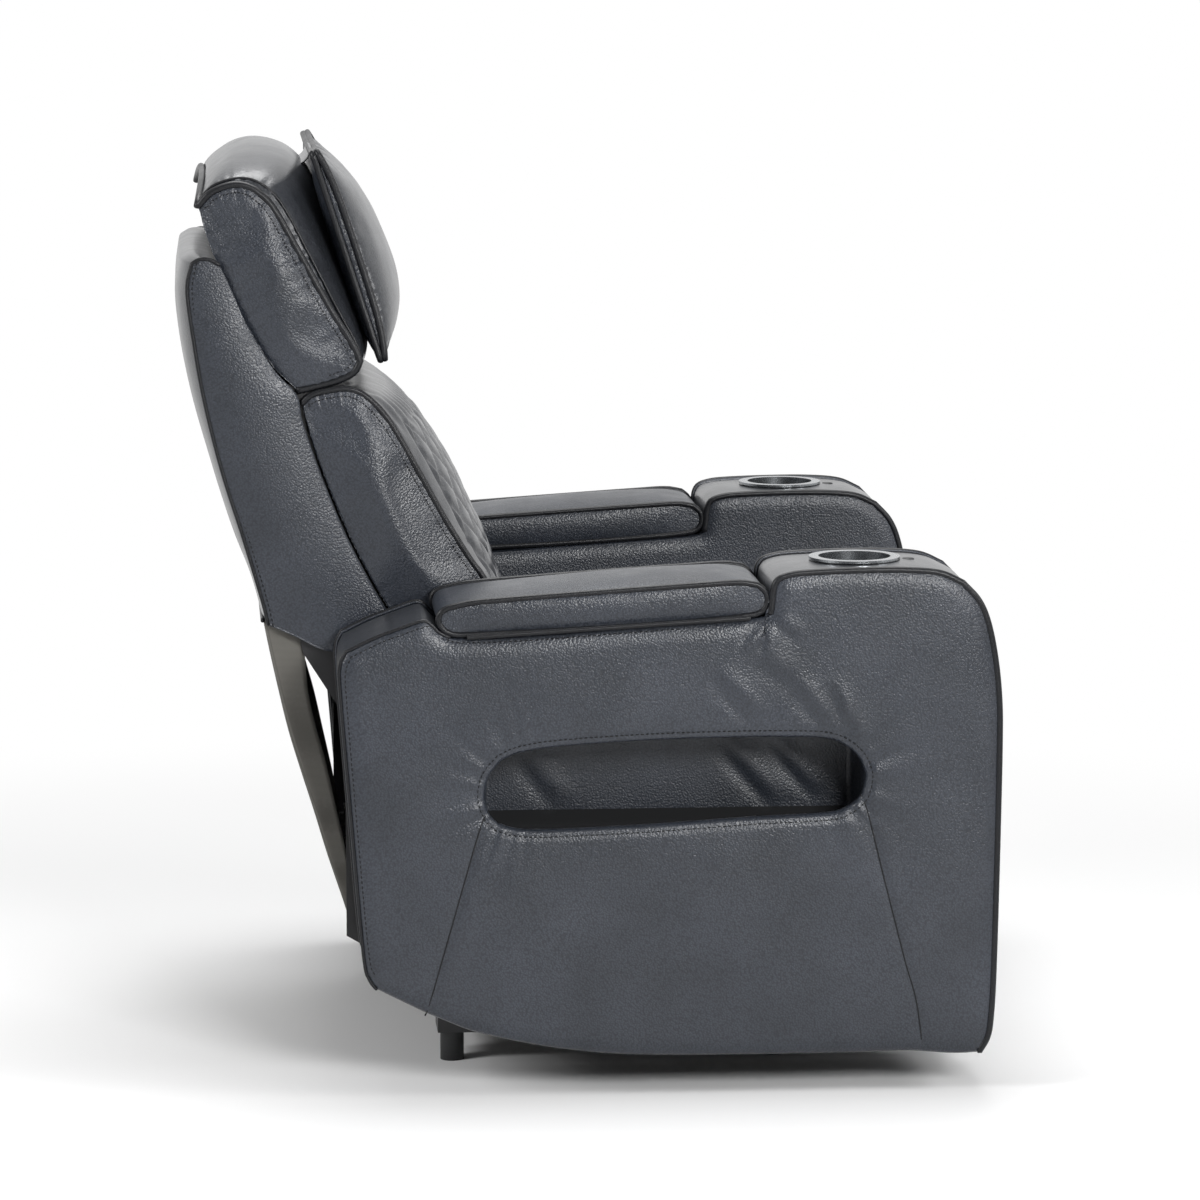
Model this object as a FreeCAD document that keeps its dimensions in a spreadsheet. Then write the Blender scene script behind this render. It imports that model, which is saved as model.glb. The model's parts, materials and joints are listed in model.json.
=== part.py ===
import FreeCAD, Part
import math
import os
import re
import types

import Sketcher

Vec = FreeCAD.Vector

# Millimetres and degrees. X is forward, Y is the sitter's left, Z is up, and the origin is on the floor.
SIZES = {
    # arms: width and outline seen from the side
    "chair_half_wide": 480,
    "arm_wide": 185,
    "panel_thick": 15,
    "arm_front": 488,
    "arm_front_low": 474,
    "arm_floor": 50,
    "arm_top": 633,
    "arm_front_round": 85,
    "arm_low_round": 18,
    "cup_block_rear": 208,
    "cup_block_round": 16,
    "lid_seat_front": 577,
    "lid_seat_rear": 555,
    "lid_rear": -168,
    "arm_crest_x": -194,
    "crest_rise": 20,
    "arm_rear": -296,
    "arm_rear_top": 541,
    "arm_rear_round": 24,
    "arm_rear_low": -262,
    "arm_rear_floor": 138,
    "arm_under_mid": -140,
    "arm_under_mid_floor": 82,
    "arm_under_front": 54,
    "arm_under_round": 160,
    # side slot, its pocket, and the storage bin under the lid
    "slot_rear": -126,
    "slot_front": 322,
    "slot_rear_low": 326,
    "slot_rear_high": 424,
    "slot_front_low": 341,
    "slot_front_high": 433,
    "slot_round": 44,
    "pocket_margin": 10,
    "pocket_deep": 95,
    "pocket_drop": 34,
    "pocket_lift": 12,
    "liner_wall": 3,
    "bin_margin": 20,
    "bin_deep": 88,
    "bin_drop": 5,
    # cup holder
    "cup_at": 319.4,
    "cup_rim_radius": 54.5,
    "cup_rim_thick": 3,
    "cup_radius": 43,
    "cup_wall": 1.5,
    "cup_deep": 88,
    "cup_play": 0.4,
    # armrest lid
    "lid_gap": 0.5,
    "lid_board_thick": 12,
    "lid_pad_tall": 30,
    "lid_crown": 9,
    "lid_end_gap": 3,
    "hinge_radius": 3,
    "hinge_gap": 0.4,
    "hinge_margin": 20,
    # side plates and cross tubes of the seat frame
    "plate_gap": 23,
    "plate_thick": 4,
    "plate_rear": -285,
    "plate_rear_low": 160,
    "plate_floor": 110,
    "plate_floor_rear": -200,
    "plate_front_margin": 22,
    "plate_top": 365,
    "plate_shoulder": -150,
    "tube_radius": 12.5,
    "rear_tube_x": -180,
    "rear_tube_z": 200,
    "front_tube_x": 190,
    "front_tube_z": 320,
    "flap_tube_x": -262,
    "flap_tube_z": 172,
    # shoulder bolts that carry the arms
    "bolt_radius": 4,
    "bolt_collar": 10,
    "bolt_head": 8,
    "bolt_head_thick": 5,
    "bolt_rear_x": -215,
    "bolt_mid_x": 120,
    "bolt_low_z": 185,
    "bolt_front_x": 235,
    "bolt_high_z": 335,
    # seat deck, webbing and cushion
    "deck_rear": -148,
    "deck_front": 440,
    "deck_gap": 11,
    "deck_thick": 24,
    "deck_rail": 60,
    "strap_wide": 50,
    "strap_thick": 2,
    "strap_step": 95,
    "seat_gap": 7,
    "seat_front_over": 12,
    "seat_tall": 84,
    "seat_crown": 20,
    "soft_gap": 0.4,
    # rocking base
    "rock_x": 40,
    "rock_z": 700,
    "rock_radius": 638,
    "rock_gap": 0.3,
    "cam_rear": -150,
    "cam_front": 230,
    "cam_top": 150,
    "cam_thick": 24,
    "rail_wide": 61,
    "rail_inset": 2,
    "rail_tall": 26,
    "rail_rear": -174,
    "rail_front": 262,
    "foot_radius": 14.5,
    "foot_rear": -156,
    "foot_front": 240,
    "foot_inset": 18,
    "base_tube_radius": 11,
    "spring_reach": 130,
    "spring_inset": 46,
    "spring_radius": 13,
    "spring_wall": 3,
    "lug_half": 18,
    "lug_thick": 5,
    # legrest linkage
    "leg_x": 284,
    "leg_z": 350,
    "link_long": 230,
    "link_fold": 78,
    "link_open": 25,
    "link_thick": 4,
    "link_gap": 1,
    "link_half": 12,
    "stud_radius": 5,
    "stud_play": 0.05,
    "stud_over": 1,
    "torque_at": 40,
    "torque_radius": 11,
    "leg_crank": 110,
    # footrest
    "foot_board_back": 15,
    "foot_board_thick": 15,
    "foot_pad_thick": 58,
    "foot_top_rise": 8,
    "foot_tall": 278,
    "foot_flange": 130,
    # actuators
    "drive_y": 60,
    "crank_thick": 6,
    "crank_half": 12,
    "fork_thick": 6,
    "fork_gap": 3,
    "fork_half": 15,
    "fork_play": 2.0,
    "fork_above": 22,
    "fork_below": 22,
    "pin_radius": 5,
    "rail_radius": 9,
    "rail_play": 0.05,
    "carriage_half": 22,
    "carriage_side": 18,
    "gear_long": 78,
    "gear_half": 30,
    "motor_radius": 26,
    "motor_long": 74,
    "leg_rail_z": 196,
    "leg_rail_rear": -62,
    "leg_rail_front": 362,
    "back_rail_z": 245,
    "back_rail_rear": -284,
    "back_rail_front": 98,
    "clevis_half": 8,
    "clevis_wall": 8,
    # power inlet on the rear tube
    "inlet_y": -190,
    "inlet_long": 46,
    "inlet_half": 20,
    "inlet_bore": 6,
    # backrest
    "pivot_x": -235,
    "pivot_z": 415,
    "pivot_boss": 25,
    "pivot_pin": 6,
    "pivot_head": 10,
    "bar_thick": 5,
    "back_tube_x": -330,
    "back_tube_z": 602,
    "back_tube_radius": 11,
    "crank_tube_x": -250,
    "crank_tube_z": 455,
    "back_crank": 120,
    "back_crank_lead": 10,
    "back_gap": 10,
    "cover_step": 2,
    "shell_wall": 18,
    "shell_rear": -486,
    "shell_top": 992,
    "shell_bulge_z": 942,
    "shell_low_rear": -383,
    "shell_low_rear_z": 548,
    "shell_under": -300,
    "shell_under_z": 508,
    "shell_crown_x": -428,
    "shell_crown_z": 986,
    "shell_round": 24,
    "seam_low": -205,
    "seam_low_z": 507,
    "seam_high": -330,
    "seam_high_z": 812,
    "lumbar_low": -66,
    "lumbar_high": -238,
    "lumbar_high_z": 806,
    "lumbar_crown": 28,
    "quilt_border": 48,
    "quilt_low": 24,
    "quilt_high": 34,
    "quilt_wide": 60,
    "quilt_tall": 62,
    "stitch_wide": 5,
    "stitch_deep": 4,
    "flap_inset": 6,
    "flap_thick": 3,
    "flap_mid": -335,
    "flap_mid_z": 354,
    "flap_low": -278,
    "flap_low_z": 158,
    # headrest and pillow
    "head_x": -290,
    "head_z": 832,
    "head_rod": 5,
    "head_barrel": 9,
    "head_low": -336,
    "head_low_z": 842,
    "head_front": -266,
    "head_front_z": 860,
    "head_tip": -385,
    "head_tip_z": 1073,
    "head_back": -457,
    "head_back_z": 1050,
    "head_crown_x": 55,
    "head_crown_z": 24,
    "head_bulge": 16.5,
    "head_plate_tall": 150,
    "head_plate_half": 120,
    "head_plate_thick": 3,
    "head_crank": 80,
    "head_tilt": 25,
    "head_pin": 4,
    "head_arm_half": 6,
    "head_arm_thick": 8,
    "head_fork_play": 0.8,
    "head_rod_radius": 8,
    "head_rod_long": 74,
    "head_motor_half": 26,
    "head_motor_long": 108,
    "pillow_margin": 29,
    "pillow_start": -5,
    "pillow_end": 255,
    "pillow_edge": 15,
    "pillow_crown": 40,
    # switches on the inside of the right arm
    "control_x": 330,
    "control_z": 560,
    "control_long": 132,
    "control_tall": 38,
    "control_thick": 8,
    "switch_long": 36,
    "switch_tall": 16,
    "switch_proud": 3,
    "switch_deep": 6,
    "switch_gap": 0.9,
    "switch_step": 44,
    "home_radius": 7,
    "home_gap": 0.4,
}

doc = FreeCAD.newDocument("recliner")
sheet = doc.addObject("Spreadsheet::Sheet", "sizes")
for row, (name, value) in enumerate(SIZES.items(), 1):
    sheet.set(f"A{row}", name)
    sheet.set(f"B{row}", str(value))
    sheet.setAlias(f"B{row}", name)
doc.recompute()
v = types.SimpleNamespace(**{name: float(sheet.get(name)) for name in SIZES})

# Sizes that follow from others: the width between the arms sets the width of all that lies there
DERIVED = {
    "inner_face": "chair_half_wide - arm_wide",
    "arm_crest": "lid_seat_rear + crest_rise",
    "plate_face": "inner_face - plate_gap - plate_thick",
    "deck_half": "inner_face - deck_gap",
    "foot_half": "deck_half",
    "rail_out": "plate_face - rail_inset",
    "rail_in": "rail_out - rail_wide",
    "foot_y": "plate_face - foot_inset",
    "spring_y": "plate_face - spring_inset",
    "back_half": "inner_face - back_gap",
    "head_half": "back_half - 2 * cover_step",
    "flap_half": "plate_face - flap_inset",
}
v.inner_face = v.chair_half_wide - v.arm_wide
v.seat_half = v.inner_face - v.seat_gap
v.foot_half = v.inner_face - v.deck_gap
v.lumbar_half = v.inner_face - v.back_gap - v.cover_step
v.head_half = v.lumbar_half - v.cover_step
v.pillow_half = v.head_half - v.pillow_margin

# Formulas used in more than one place
INNER_FACE = "inner_face"
ARM_MID = "(chair_half_wide - arm_wide / 2)"
LID_SLOPE = "atan((lid_seat_front - lid_seat_rear) / (cup_block_rear - lid_rear))"
LID_LONG = f"((cup_block_rear - lid_rear) / cos({LID_SLOPE}) - lid_end_gap)"
RAIL_TOP = "(rock_z - rock_radius - rock_gap)"
RAIL_FLOOR = f"({RAIL_TOP} - rail_tall)"
OUTER_LINK = "(plate_face - link_gap - link_thick)"
INNER_LINK = "(plate_face - 2 * link_gap - 2 * link_thick)"
LEG_SWING = "((link_fold - link_open) / 2)"
FOOT_PIVOT = "(leg_x + 2 * link_long * cos(link_fold))"
FOOT_BACK = f"({FOOT_PIVOT} + foot_board_back)"
BAR_NEAR = "(plate_face - link_gap - bar_thick)"


def linked(text):
    """A formula with every size name pointing at its cell, and derived sizes written out."""

    def cell(match):
        name = match[0]
        if name in DERIVED:
            return "(" + linked(DERIVED[name]) + ")"
        return "sizes." + name if name in SIZES else name

    return re.sub(r"[a-z][a-z_]*", cell, text)


def bind(obj, **formulas):
    for prop, text in formulas.items():
        obj.setExpression(prop, linked(text))
    return obj


def put(obj, x="0", y="0", z="0"):
    for axis, text in (("x", x), ("y", y), ("z", z)):
        obj.setExpression(f"Placement.Base.{axis}", linked(text))
    return obj


def turn(obj, axis, angle):
    """Turn about an axis by an angle that is a formula in degrees."""
    obj.Placement = FreeCAD.Placement(obj.Placement.Base, FreeCAD.Rotation(Vec(*axis), 1))
    obj.setExpression("Placement.Rotation.Angle", linked(angle))
    return obj


def box(name, x, y, z):
    """Block from (start, size) formulas along each axis."""
    block = doc.addObject("Part::Box", name)
    bind(block, Length=x[1], Width=y[1], Height=z[1])
    return put(block, x[0], y[0], z[0])


def rod(name, axis, start, long, radius):
    """Cylinder along X, Y or Z from a start point."""
    cylinder = doc.addObject("Part::Cylinder", name)
    if axis == "X":
        cylinder.Placement.Rotation = FreeCAD.Rotation(Vec(0, 1, 0), 90)
    if axis == "Y":
        cylinder.Placement.Rotation = FreeCAD.Rotation(Vec(1, 0, 0), -90)
    bind(cylinder, Height=long, Radius=radius)
    return put(cylinder, *start)


def fuse(name, *parts):
    joined = doc.addObject("Part::MultiFuse", name)
    joined.Shapes = list(parts)
    joined.Refine = True
    return joined


def cut(name, base, *tools):
    result = doc.addObject("Part::Cut", name)
    result.Base = base
    result.Tool = tools[0] if len(tools) == 1 else fuse(name + "_tools", *tools)
    result.Refine = True
    return result


def group(name, *parts):
    several = doc.addObject("Part::Compound", name)
    several.Links = list(parts)
    return several


def mirror(name, source):
    """The same piece on the other side of the chair."""
    other = doc.addObject("Part::Mirroring", name)
    other.Source = source
    other.Normal = Vec(0, 1, 0)
    return other


def pair(name, left):
    return group(name, left, mirror(name + "_mirrored", left))


def profile(name, corners, near, thick):
    """Plate with an outline in X and Z, from Y = near; a corner may carry a fillet radius."""
    body = doc.addObject("PartDesign::Body", name)
    sketch = body.newObject("Sketcher::SketchObject", name + "_outline")
    plane = next(f for f in body.Origin.OriginFeatures if f.Role == "XZ_Plane")
    sketch.AttachmentSupport = [(plane, "")]
    sketch.MapMode = "FlatFace"
    count = len(corners)
    turns = [2 * math.pi * i / count for i in range(count)]
    ring = [Vec(100 * math.cos(a), 100 * math.sin(a), 0) for a in turns]
    for i in range(count):
        sketch.addGeometry(Part.LineSegment(ring[i], ring[(i + 1) % count]))
    for i in range(count):
        sketch.addConstraint(Sketcher.Constraint("Coincident", i, 2, (i + 1) % count, 1))
    for i, corner in enumerate(corners):
        across = sketch.addConstraint(Sketcher.Constraint("DistanceX", -1, 1, i, 1, ring[i].x))
        sketch.setExpression(f"Constraints[{across}]", linked(corner[0]))
        upward = sketch.addConstraint(Sketcher.Constraint("DistanceY", -1, 1, i, 1, ring[i].y))
        sketch.setExpression(f"Constraints[{upward}]", linked(corner[1]))
    last = body.newObject("PartDesign::Pad", name + "_pad")
    last.Profile = sketch
    bind(last, Length=thick)
    put(body, "0", f"{near} + {thick}", "0")
    doc.recompute()
    for radius in dict.fromkeys(c[2] for c in corners if len(c) > 2):
        spots = [sketch.Geometry[i].StartPoint for i, c in enumerate(corners) if c[2:] == (radius,)]
        edges = []
        for k, edge in enumerate(last.Shape.Edges, 1):
            a, b = edge.Vertexes[0].Point, edge.Vertexes[-1].Point
            level = abs(a.x - b.x) < 1e-4 and abs(a.z - b.z) < 1e-4
            if level and any(math.hypot(a.x - s.x, a.z - s.y) < 1e-3 for s in spots):
                edges.append(f"Edge{k}")
        rounding = body.newObject("PartDesign::Fillet", f"{name}_{radius}")
        rounding.Base = (last, edges)
        bind(rounding, Radius=radius)
        doc.recompute()
        last = rounding
    return body


def outline_wire(y, corners, bulges, radius):
    """Closed outline at one Y: four bowed sides and four rounded corners."""
    points = [Vec(x, y, z) for x, z in corners]
    inner, outer = [], []
    for k in range(4):
        here, before, after = points[k], points[k - 1], points[(k + 1) % 4]
        inner.append(here + (before - here).normalize() * radius)
        outer.append(here + (after - here).normalize() * radius)
    edges = []
    for k in range(4):
        middle = (inner[k] + outer[k]) * 0.5
        bend = points[k] + (middle - points[k]) * 0.586
        edges.append(Part.Arc(inner[k], bend, outer[k]).toShape())
        start, end = outer[k], inner[(k + 1) % 4]
        along = (end - start).normalize()
        bow = Vec(along.z, 0, -along.x) * bulges[k]
        edges.append(Part.Arc(start, (start + end) * 0.5 + bow, end).toShape())
    return Part.Wire(edges)


def crowned(name, half, side, middle, inset, radius, held=()):
    """Cushion lofted across Y: flatter drawn-in ends, fuller in the middle; held corners stay put."""
    wires = []
    for reach in (-1, -0.84, -0.42, 0, 0.42, 0.84, 1):
        full = 1 - abs(reach) ** 2.2
        draw = inset * max(0, (abs(reach) - 0.7) / 0.3) ** 2
        pairs = list(zip(side[0], middle[0]))
        corners = [(a[0] + (b[0] - a[0]) * full, a[1] + (b[1] - a[1]) * full) for a, b in pairs]
        mid_x = sum(c[0] for c in corners) / 4
        mid_z = sum(c[1] for c in corners) / 4
        drawn = []
        for k, (x, z) in enumerate(corners):
            reach_in = math.hypot(mid_x - x, mid_z - z)
            share = 0 if k in held else draw / reach_in
            drawn.append((x + (mid_x - x) * share, z + (mid_z - z) * share))
        bulges = [a + (b - a) * full for a, b in zip(side[1], middle[1])]
        wires.append(outline_wire(reach * half, drawn, bulges, radius))
    cushion = doc.addObject("Part::Feature", name)
    cushion.Shape = Part.makeLoft(wires, True, False)
    return cushion


def link(name, near, long, holes=()):
    """Flat bar with round ends along X from the origin, with holes at given places."""
    bar = box(name + "_bar", ("0", long), (near, "link_thick"), ("-link_half", "2 * link_half"))
    heel = rod(name + "_heel", "Y", ("0", near, "0"), "link_thick", "link_half")
    toe = rod(name + "_toe", "Y", (long, near, "0"), "link_thick", "link_half")
    blank = fuse(name + "_blank", bar, heel, toe)
    bore = "stud_radius + stud_play"
    drills = [
        rod(f"{name}_hole_{k}", "Y", (at, near, "0"), "link_thick", bore)
        for k, at in enumerate(holes)
    ]
    return cut(name + "_plate", blank, *drills) if drills else blank


def stud(name, at, near, far):
    return rod(name, "Y", (at, near, "0"), f"{far} - {near}", "stud_radius")


nodes = {}


# Arm panels, built for the left arm and mirrored for the right one
arm_outline = [
    ("arm_front_low", "arm_floor", "arm_low_round"),
    ("arm_front", "arm_top", "arm_front_round"),
    ("cup_block_rear", "arm_top", "cup_block_round"),
    ("cup_block_rear", "lid_seat_front"),
    ("lid_rear", "lid_seat_rear"),
    ("arm_crest_x", "arm_crest"),
    ("arm_rear", "arm_rear_top", "arm_rear_round"),
    ("arm_rear_low", "arm_rear_floor", "arm_low_round"),
    ("arm_under_mid", "arm_under_mid_floor", "arm_under_round"),
    ("arm_under_front", "arm_floor", "arm_under_round"),
]
slot_outline = [
    ("slot_rear", "slot_rear_low", "slot_round"),
    ("slot_front", "slot_front_low", "slot_round"),
    ("slot_front", "slot_front_high", "slot_round"),
    ("slot_rear", "slot_rear_high", "slot_round"),
]
outer_near = "chair_half_wide - panel_thick"
outer_blank = profile("outer_blank", arm_outline, outer_near, "panel_thick")
slot_tool = profile("slot_tool", slot_outline, "chair_half_wide - 2 * panel_thick", "3 * panel_thick")
hinge_start = f"lid_rear + hinge_margin * cos({LID_SLOPE})"
hinge_start_z = f"lid_seat_rear + hinge_margin * sin({LID_SLOPE})"
hinge_notch = rod(
    "hinge_notch",
    "X",
    ("lid_rear", "chair_half_wide", "lid_seat_rear"),
    LID_LONG,
    "hinge_radius + hinge_gap",
)
turn(hinge_notch, (0, 1, 0), f"90 deg - {LID_SLOPE}")
nodes["arm_outer_panel_left"] = cut("arm_outer_panel_left", outer_blank, slot_tool, hinge_notch)

bolt_spots = [
    ("bolt_rear_x", "bolt_low_z"),
    ("bolt_mid_x", "bolt_low_z"),
    ("bolt_front_x", "bolt_high_z"),
]
bolt_bore = "bolt_radius + stud_play"
inner_blank = profile("inner_blank", arm_outline, INNER_FACE, "panel_thick")
inner_drills = [
    rod(f"inner_drill_{k}", "Y", (x, INNER_FACE, z), "panel_thick", bolt_bore)
    for k, (x, z) in enumerate(bolt_spots)
]
nodes["arm_inner_panel_left"] = cut("arm_inner_panel_left", inner_blank, *inner_drills)

band_near = f"{INNER_FACE} + panel_thick"
band_wide = "arm_wide - 2 * panel_thick"
front_band_outline = [
    ("arm_front_low", "arm_floor"),
    ("arm_front", "arm_top", "arm_front_round"),
    ("cup_block_rear", "arm_top", "cup_block_round"),
    ("cup_block_rear", "lid_seat_front"),
    ("cup_block_rear + panel_thick", "lid_seat_front"),
    ("cup_block_rear + panel_thick", "arm_top - panel_thick"),
    ("arm_front - panel_thick", "arm_top - panel_thick", "arm_front_round - panel_thick"),
    ("arm_front_low - panel_thick", "arm_floor"),
]
front_band_blank = profile("front_band_blank", front_band_outline, band_near, band_wide)
cup_hole = rod(
    "cup_hole",
    "Z",
    ("cup_at", ARM_MID, "arm_top - 2 * panel_thick"),
    "3 * panel_thick",
    "cup_radius + cup_wall + cup_play",
)
nodes["arm_front_band_left"] = cut("arm_front_band_left", front_band_blank, cup_hole)

rear_band_outline = [
    ("lid_rear", "lid_seat_rear"),
    ("arm_crest_x", "arm_crest"),
    ("arm_rear", "arm_rear_top", "arm_rear_round"),
    ("arm_rear_low", "arm_rear_floor"),
    ("arm_rear_low + panel_thick", "arm_rear_floor"),
    ("arm_rear + panel_thick", "arm_rear_top - panel_thick"),
    ("arm_crest_x", "arm_crest - panel_thick - panel_thick / 4"),
    ("lid_rear", "lid_seat_rear - panel_thick"),
]
nodes["arm_rear_band_left"] = profile("arm_rear_band_left", rear_band_outline, band_near, band_wide)

liner_x = ("slot_rear - pocket_margin", "slot_front - slot_rear + 2 * pocket_margin")
liner_z = (
    "slot_rear_low - pocket_drop",
    "slot_front_high - slot_rear_low + pocket_drop + pocket_lift",
)
liner_block = box(
    "liner_block",
    liner_x,
    ("chair_half_wide - panel_thick - pocket_deep", "pocket_deep"),
    liner_z,
)
liner_hollow = box(
    "liner_hollow",
    (f"{liner_x[0]} + liner_wall", f"{liner_x[1]} - 2 * liner_wall"),
    ("chair_half_wide - panel_thick - pocket_deep + liner_wall", "pocket_deep"),
    (f"{liner_z[0]} + liner_wall", f"{liner_z[1]} - 2 * liner_wall"),
)
nodes["pocket_liner_left"] = cut("pocket_liner_left", liner_block, liner_hollow)

bin_x = ("lid_rear + bin_margin", "cup_block_rear - lid_rear - 2 * bin_margin")
bin_z = "lid_seat_rear - bin_drop - bin_deep"
bin_block = box("bin_block", bin_x, (band_near, band_wide), (bin_z, "bin_deep"))
bin_hollow = box(
    "bin_hollow",
    (f"{bin_x[0]} + liner_wall", f"{bin_x[1]} - 2 * liner_wall"),
    (f"{band_near} + liner_wall", f"{band_wide} - 2 * liner_wall"),
    (f"{bin_z} + liner_wall", "bin_deep"),
)
nodes["storage_bin_left"] = cut("storage_bin_left", bin_block, bin_hollow)

cup_rim = rod("cup_rim", "Z", ("cup_at", ARM_MID, "arm_top"), "cup_rim_thick", "cup_rim_radius")
cup_wall = rod(
    "cup_body",
    "Z",
    ("cup_at", ARM_MID, "arm_top - cup_deep"),
    "cup_deep",
    "cup_radius + cup_wall",
)
cup_space = rod(
    "cup_space",
    "Z",
    ("cup_at", ARM_MID, "arm_top - cup_deep + cup_wall"),
    "cup_deep + cup_rim_thick",
    "cup_radius",
)
nodes["cup_holder_left"] = cut("cup_holder_left", fuse("cup_blank", cup_rim, cup_wall), cup_space)

# Armrest lid: a board on the arm's slanted seat, a padded top, and a hinge rod at the outer edge
lid_board_blank = box(
    "lid_board_blank",
    ("0", LID_LONG),
    (INNER_FACE, "arm_wide"),
    ("lid_gap", "lid_board_thick"),
)
board_notch = rod("board_notch", "X", ("0", "chair_half_wide", "0"), LID_LONG, "hinge_radius + hinge_gap")
lid_board = cut("lid_board_left", lid_board_blank, board_notch)
turn(lid_board, (0, -1, 0), LID_SLOPE)
put(lid_board, "lid_rear", "0", "lid_seat_rear")
nodes["lid_board_left"] = lid_board

lid_slope = math.atan2(v.lid_seat_front - v.lid_seat_rear, v.cup_block_rear - v.lid_rear)
lid_long = (v.cup_block_rear - v.lid_rear) / math.cos(lid_slope) - v.lid_end_gap
pad_floor = v.lid_gap + v.lid_board_thick + v.soft_gap
pad_top = pad_floor + v.lid_pad_tall
lid_side = [(0, pad_floor), (lid_long, pad_floor), (lid_long, pad_top), (0, pad_top)]
lid_middle = lid_side[:2] + [(lid_long, pad_top + v.lid_crown / 2), (0, pad_top + v.lid_crown / 2)]
lid_pad = crowned(
    "lid_pad_left",
    v.arm_wide / 2,
    (lid_side, [0.01, 0.01, 1, 0.01]),
    (lid_middle, [0.01, 0.4, v.lid_crown / 2, 0.4]),
    v.lid_pad_tall / 6,
    v.lid_pad_tall / 4,
)
lid_pad.Placement = FreeCAD.Placement(
    Vec(v.lid_rear, v.chair_half_wide - v.arm_wide / 2, v.lid_seat_rear),
    FreeCAD.Rotation(Vec(0, -1, 0), math.degrees(lid_slope)),
)
nodes["lid_pad_left"] = lid_pad

for left in [name for name in nodes if name.endswith("_left")]:
    right = left.replace("_left", "_right")
    nodes[right] = mirror(right, nodes[left])

hinge_rod = rod(
    "lid_hinge_rod",
    "X",
    (hinge_start, "chair_half_wide", hinge_start_z),
    f"{LID_LONG} - 2 * hinge_margin",
    "hinge_radius",
)
turn(hinge_rod, (0, 1, 0), f"90 deg - {LID_SLOPE}")
nodes["lid_hinges"] = pair("lid_hinges", hinge_rod)

# Side plates, with the legrest guide slot, and the tubes that tie them
plate_outline = [
    ("plate_rear", "plate_rear_low"),
    ("plate_floor_rear", "plate_floor"),
    ("leg_x + plate_front_margin", "plate_floor"),
    ("leg_x + plate_front_margin", "plate_top"),
    ("plate_shoulder", "plate_top"),
    ("pivot_x + pivot_boss", "pivot_z + pivot_boss"),
    ("pivot_x - pivot_boss", "pivot_z + pivot_boss"),
    ("plate_rear", "pivot_z - pivot_boss"),
]
plate_blank = profile("plate_blank", plate_outline, "plate_face", "plate_thick")
guide_half = "(stud_radius + rock_gap)"
guide_low = f"leg_z - link_long * sin(link_fold) - {guide_half}"
guide_tall = f"link_long * (sin(link_fold) - sin(link_open)) + 2 * {guide_half}"
plate_cuts = [
    box(
        "guide_slot",
        (f"leg_x - {guide_half}", f"2 * {guide_half}"),
        ("plate_face", "plate_thick"),
        (guide_low, guide_tall),
    ),
    rod("leg_hole", "Y", ("leg_x", "plate_face", "leg_z"), "plate_thick", "stud_radius + stud_play"),
    rod("back_hole", "Y", ("pivot_x", "plate_face", "pivot_z"), "plate_thick", "pivot_pin + stud_play"),
]
for k, (x, z) in enumerate(bolt_spots):
    plate_cuts.append(rod(f"plate_drill_{k}", "Y", (x, "plate_face", z), "plate_thick", bolt_bore))
side_plate = cut("side_plate", plate_blank, *plate_cuts)
nodes["side_plates"] = pair("side_plates", side_plate)

tube_spots = [
    ("rear_tube_x", "rear_tube_z"),
    ("front_tube_x", "front_tube_z"),
    ("flap_tube_x", "flap_tube_z"),
]
nodes["frame_tubes"] = group(
    "frame_tubes",
    *[
        rod(f"frame_tube_{k}", "Y", (x, "-plate_face", z), "2 * plate_face", "tube_radius")
        for k, (x, z) in enumerate(tube_spots)
    ],
)

bolts = []
for k, (x, z) in enumerate(bolt_spots):
    shank = rod(
        f"bolt_shank_{k}",
        "Y",
        (x, "plate_face - bolt_head_thick", z),
        f"{INNER_FACE} + panel_thick - plate_face + bolt_head_thick",
        "bolt_radius",
    )
    collar = rod(
        f"bolt_collar_{k}",
        "Y",
        (x, "plate_face + plate_thick", z),
        f"{INNER_FACE} - plate_face - plate_thick",
        "bolt_collar",
    )
    head = rod(f"bolt_head_{k}", "Y", (x, "plate_face - bolt_head_thick", z), "bolt_head_thick", "bolt_head")
    bolts.append(fuse(f"arm_bolt_{k}", shank, collar, head))
nodes["arm_bolts"] = group(
    "arm_bolts",
    *bolts,
    *[mirror(f"arm_bolt_right_{k}", b) for k, b in enumerate(bolts)],
)

pin_shank = rod(
    "pin_shank",
    "Y",
    ("pivot_x", f"{BAR_NEAR} - stud_over", "pivot_z"),
    f"plate_face + plate_thick - {BAR_NEAR} + stud_over",
    "pivot_pin",
)
pin_head = rod(
    "pin_head",
    "Y",
    ("pivot_x", "plate_face + plate_thick", "pivot_z"),
    "plate_thick",
    "pivot_head",
)
nodes["back_pins"] = pair("back_pins", fuse("back_pin", pin_shank, pin_head))

# Seat: wooden deck frame, elastic straps under it, and the cushion
deck_z = ("plate_top", "deck_thick")
deck_side = ("deck_rear + deck_rail", "deck_front - deck_rear - 2 * deck_rail")
nodes["seat_deck"] = group(
    "seat_deck",
    box("deck_rear_rail", ("deck_rear", "deck_rail"), ("-deck_half", "2 * deck_half"), deck_z),
    box("deck_front_rail", ("deck_front - deck_rail", "deck_rail"), ("-deck_half", "2 * deck_half"), deck_z),
    box("deck_left_rail", deck_side, ("deck_half - deck_rail", "deck_rail"), deck_z),
    box("deck_right_rail", deck_side, ("-deck_half", "deck_rail"), deck_z),
)
nodes["seat_straps"] = group(
    "seat_straps",
    *[
        box(
            f"seat_strap_{k}",
            ("deck_rear + deck_rail / 4", "deck_front - deck_rear - deck_rail / 2"),
            (f"{k - 2} * strap_step - strap_wide / 2", "strap_wide"),
            ("plate_top - strap_thick", "strap_thick"),
        )
        for k in range(5)
    ],
)
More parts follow.
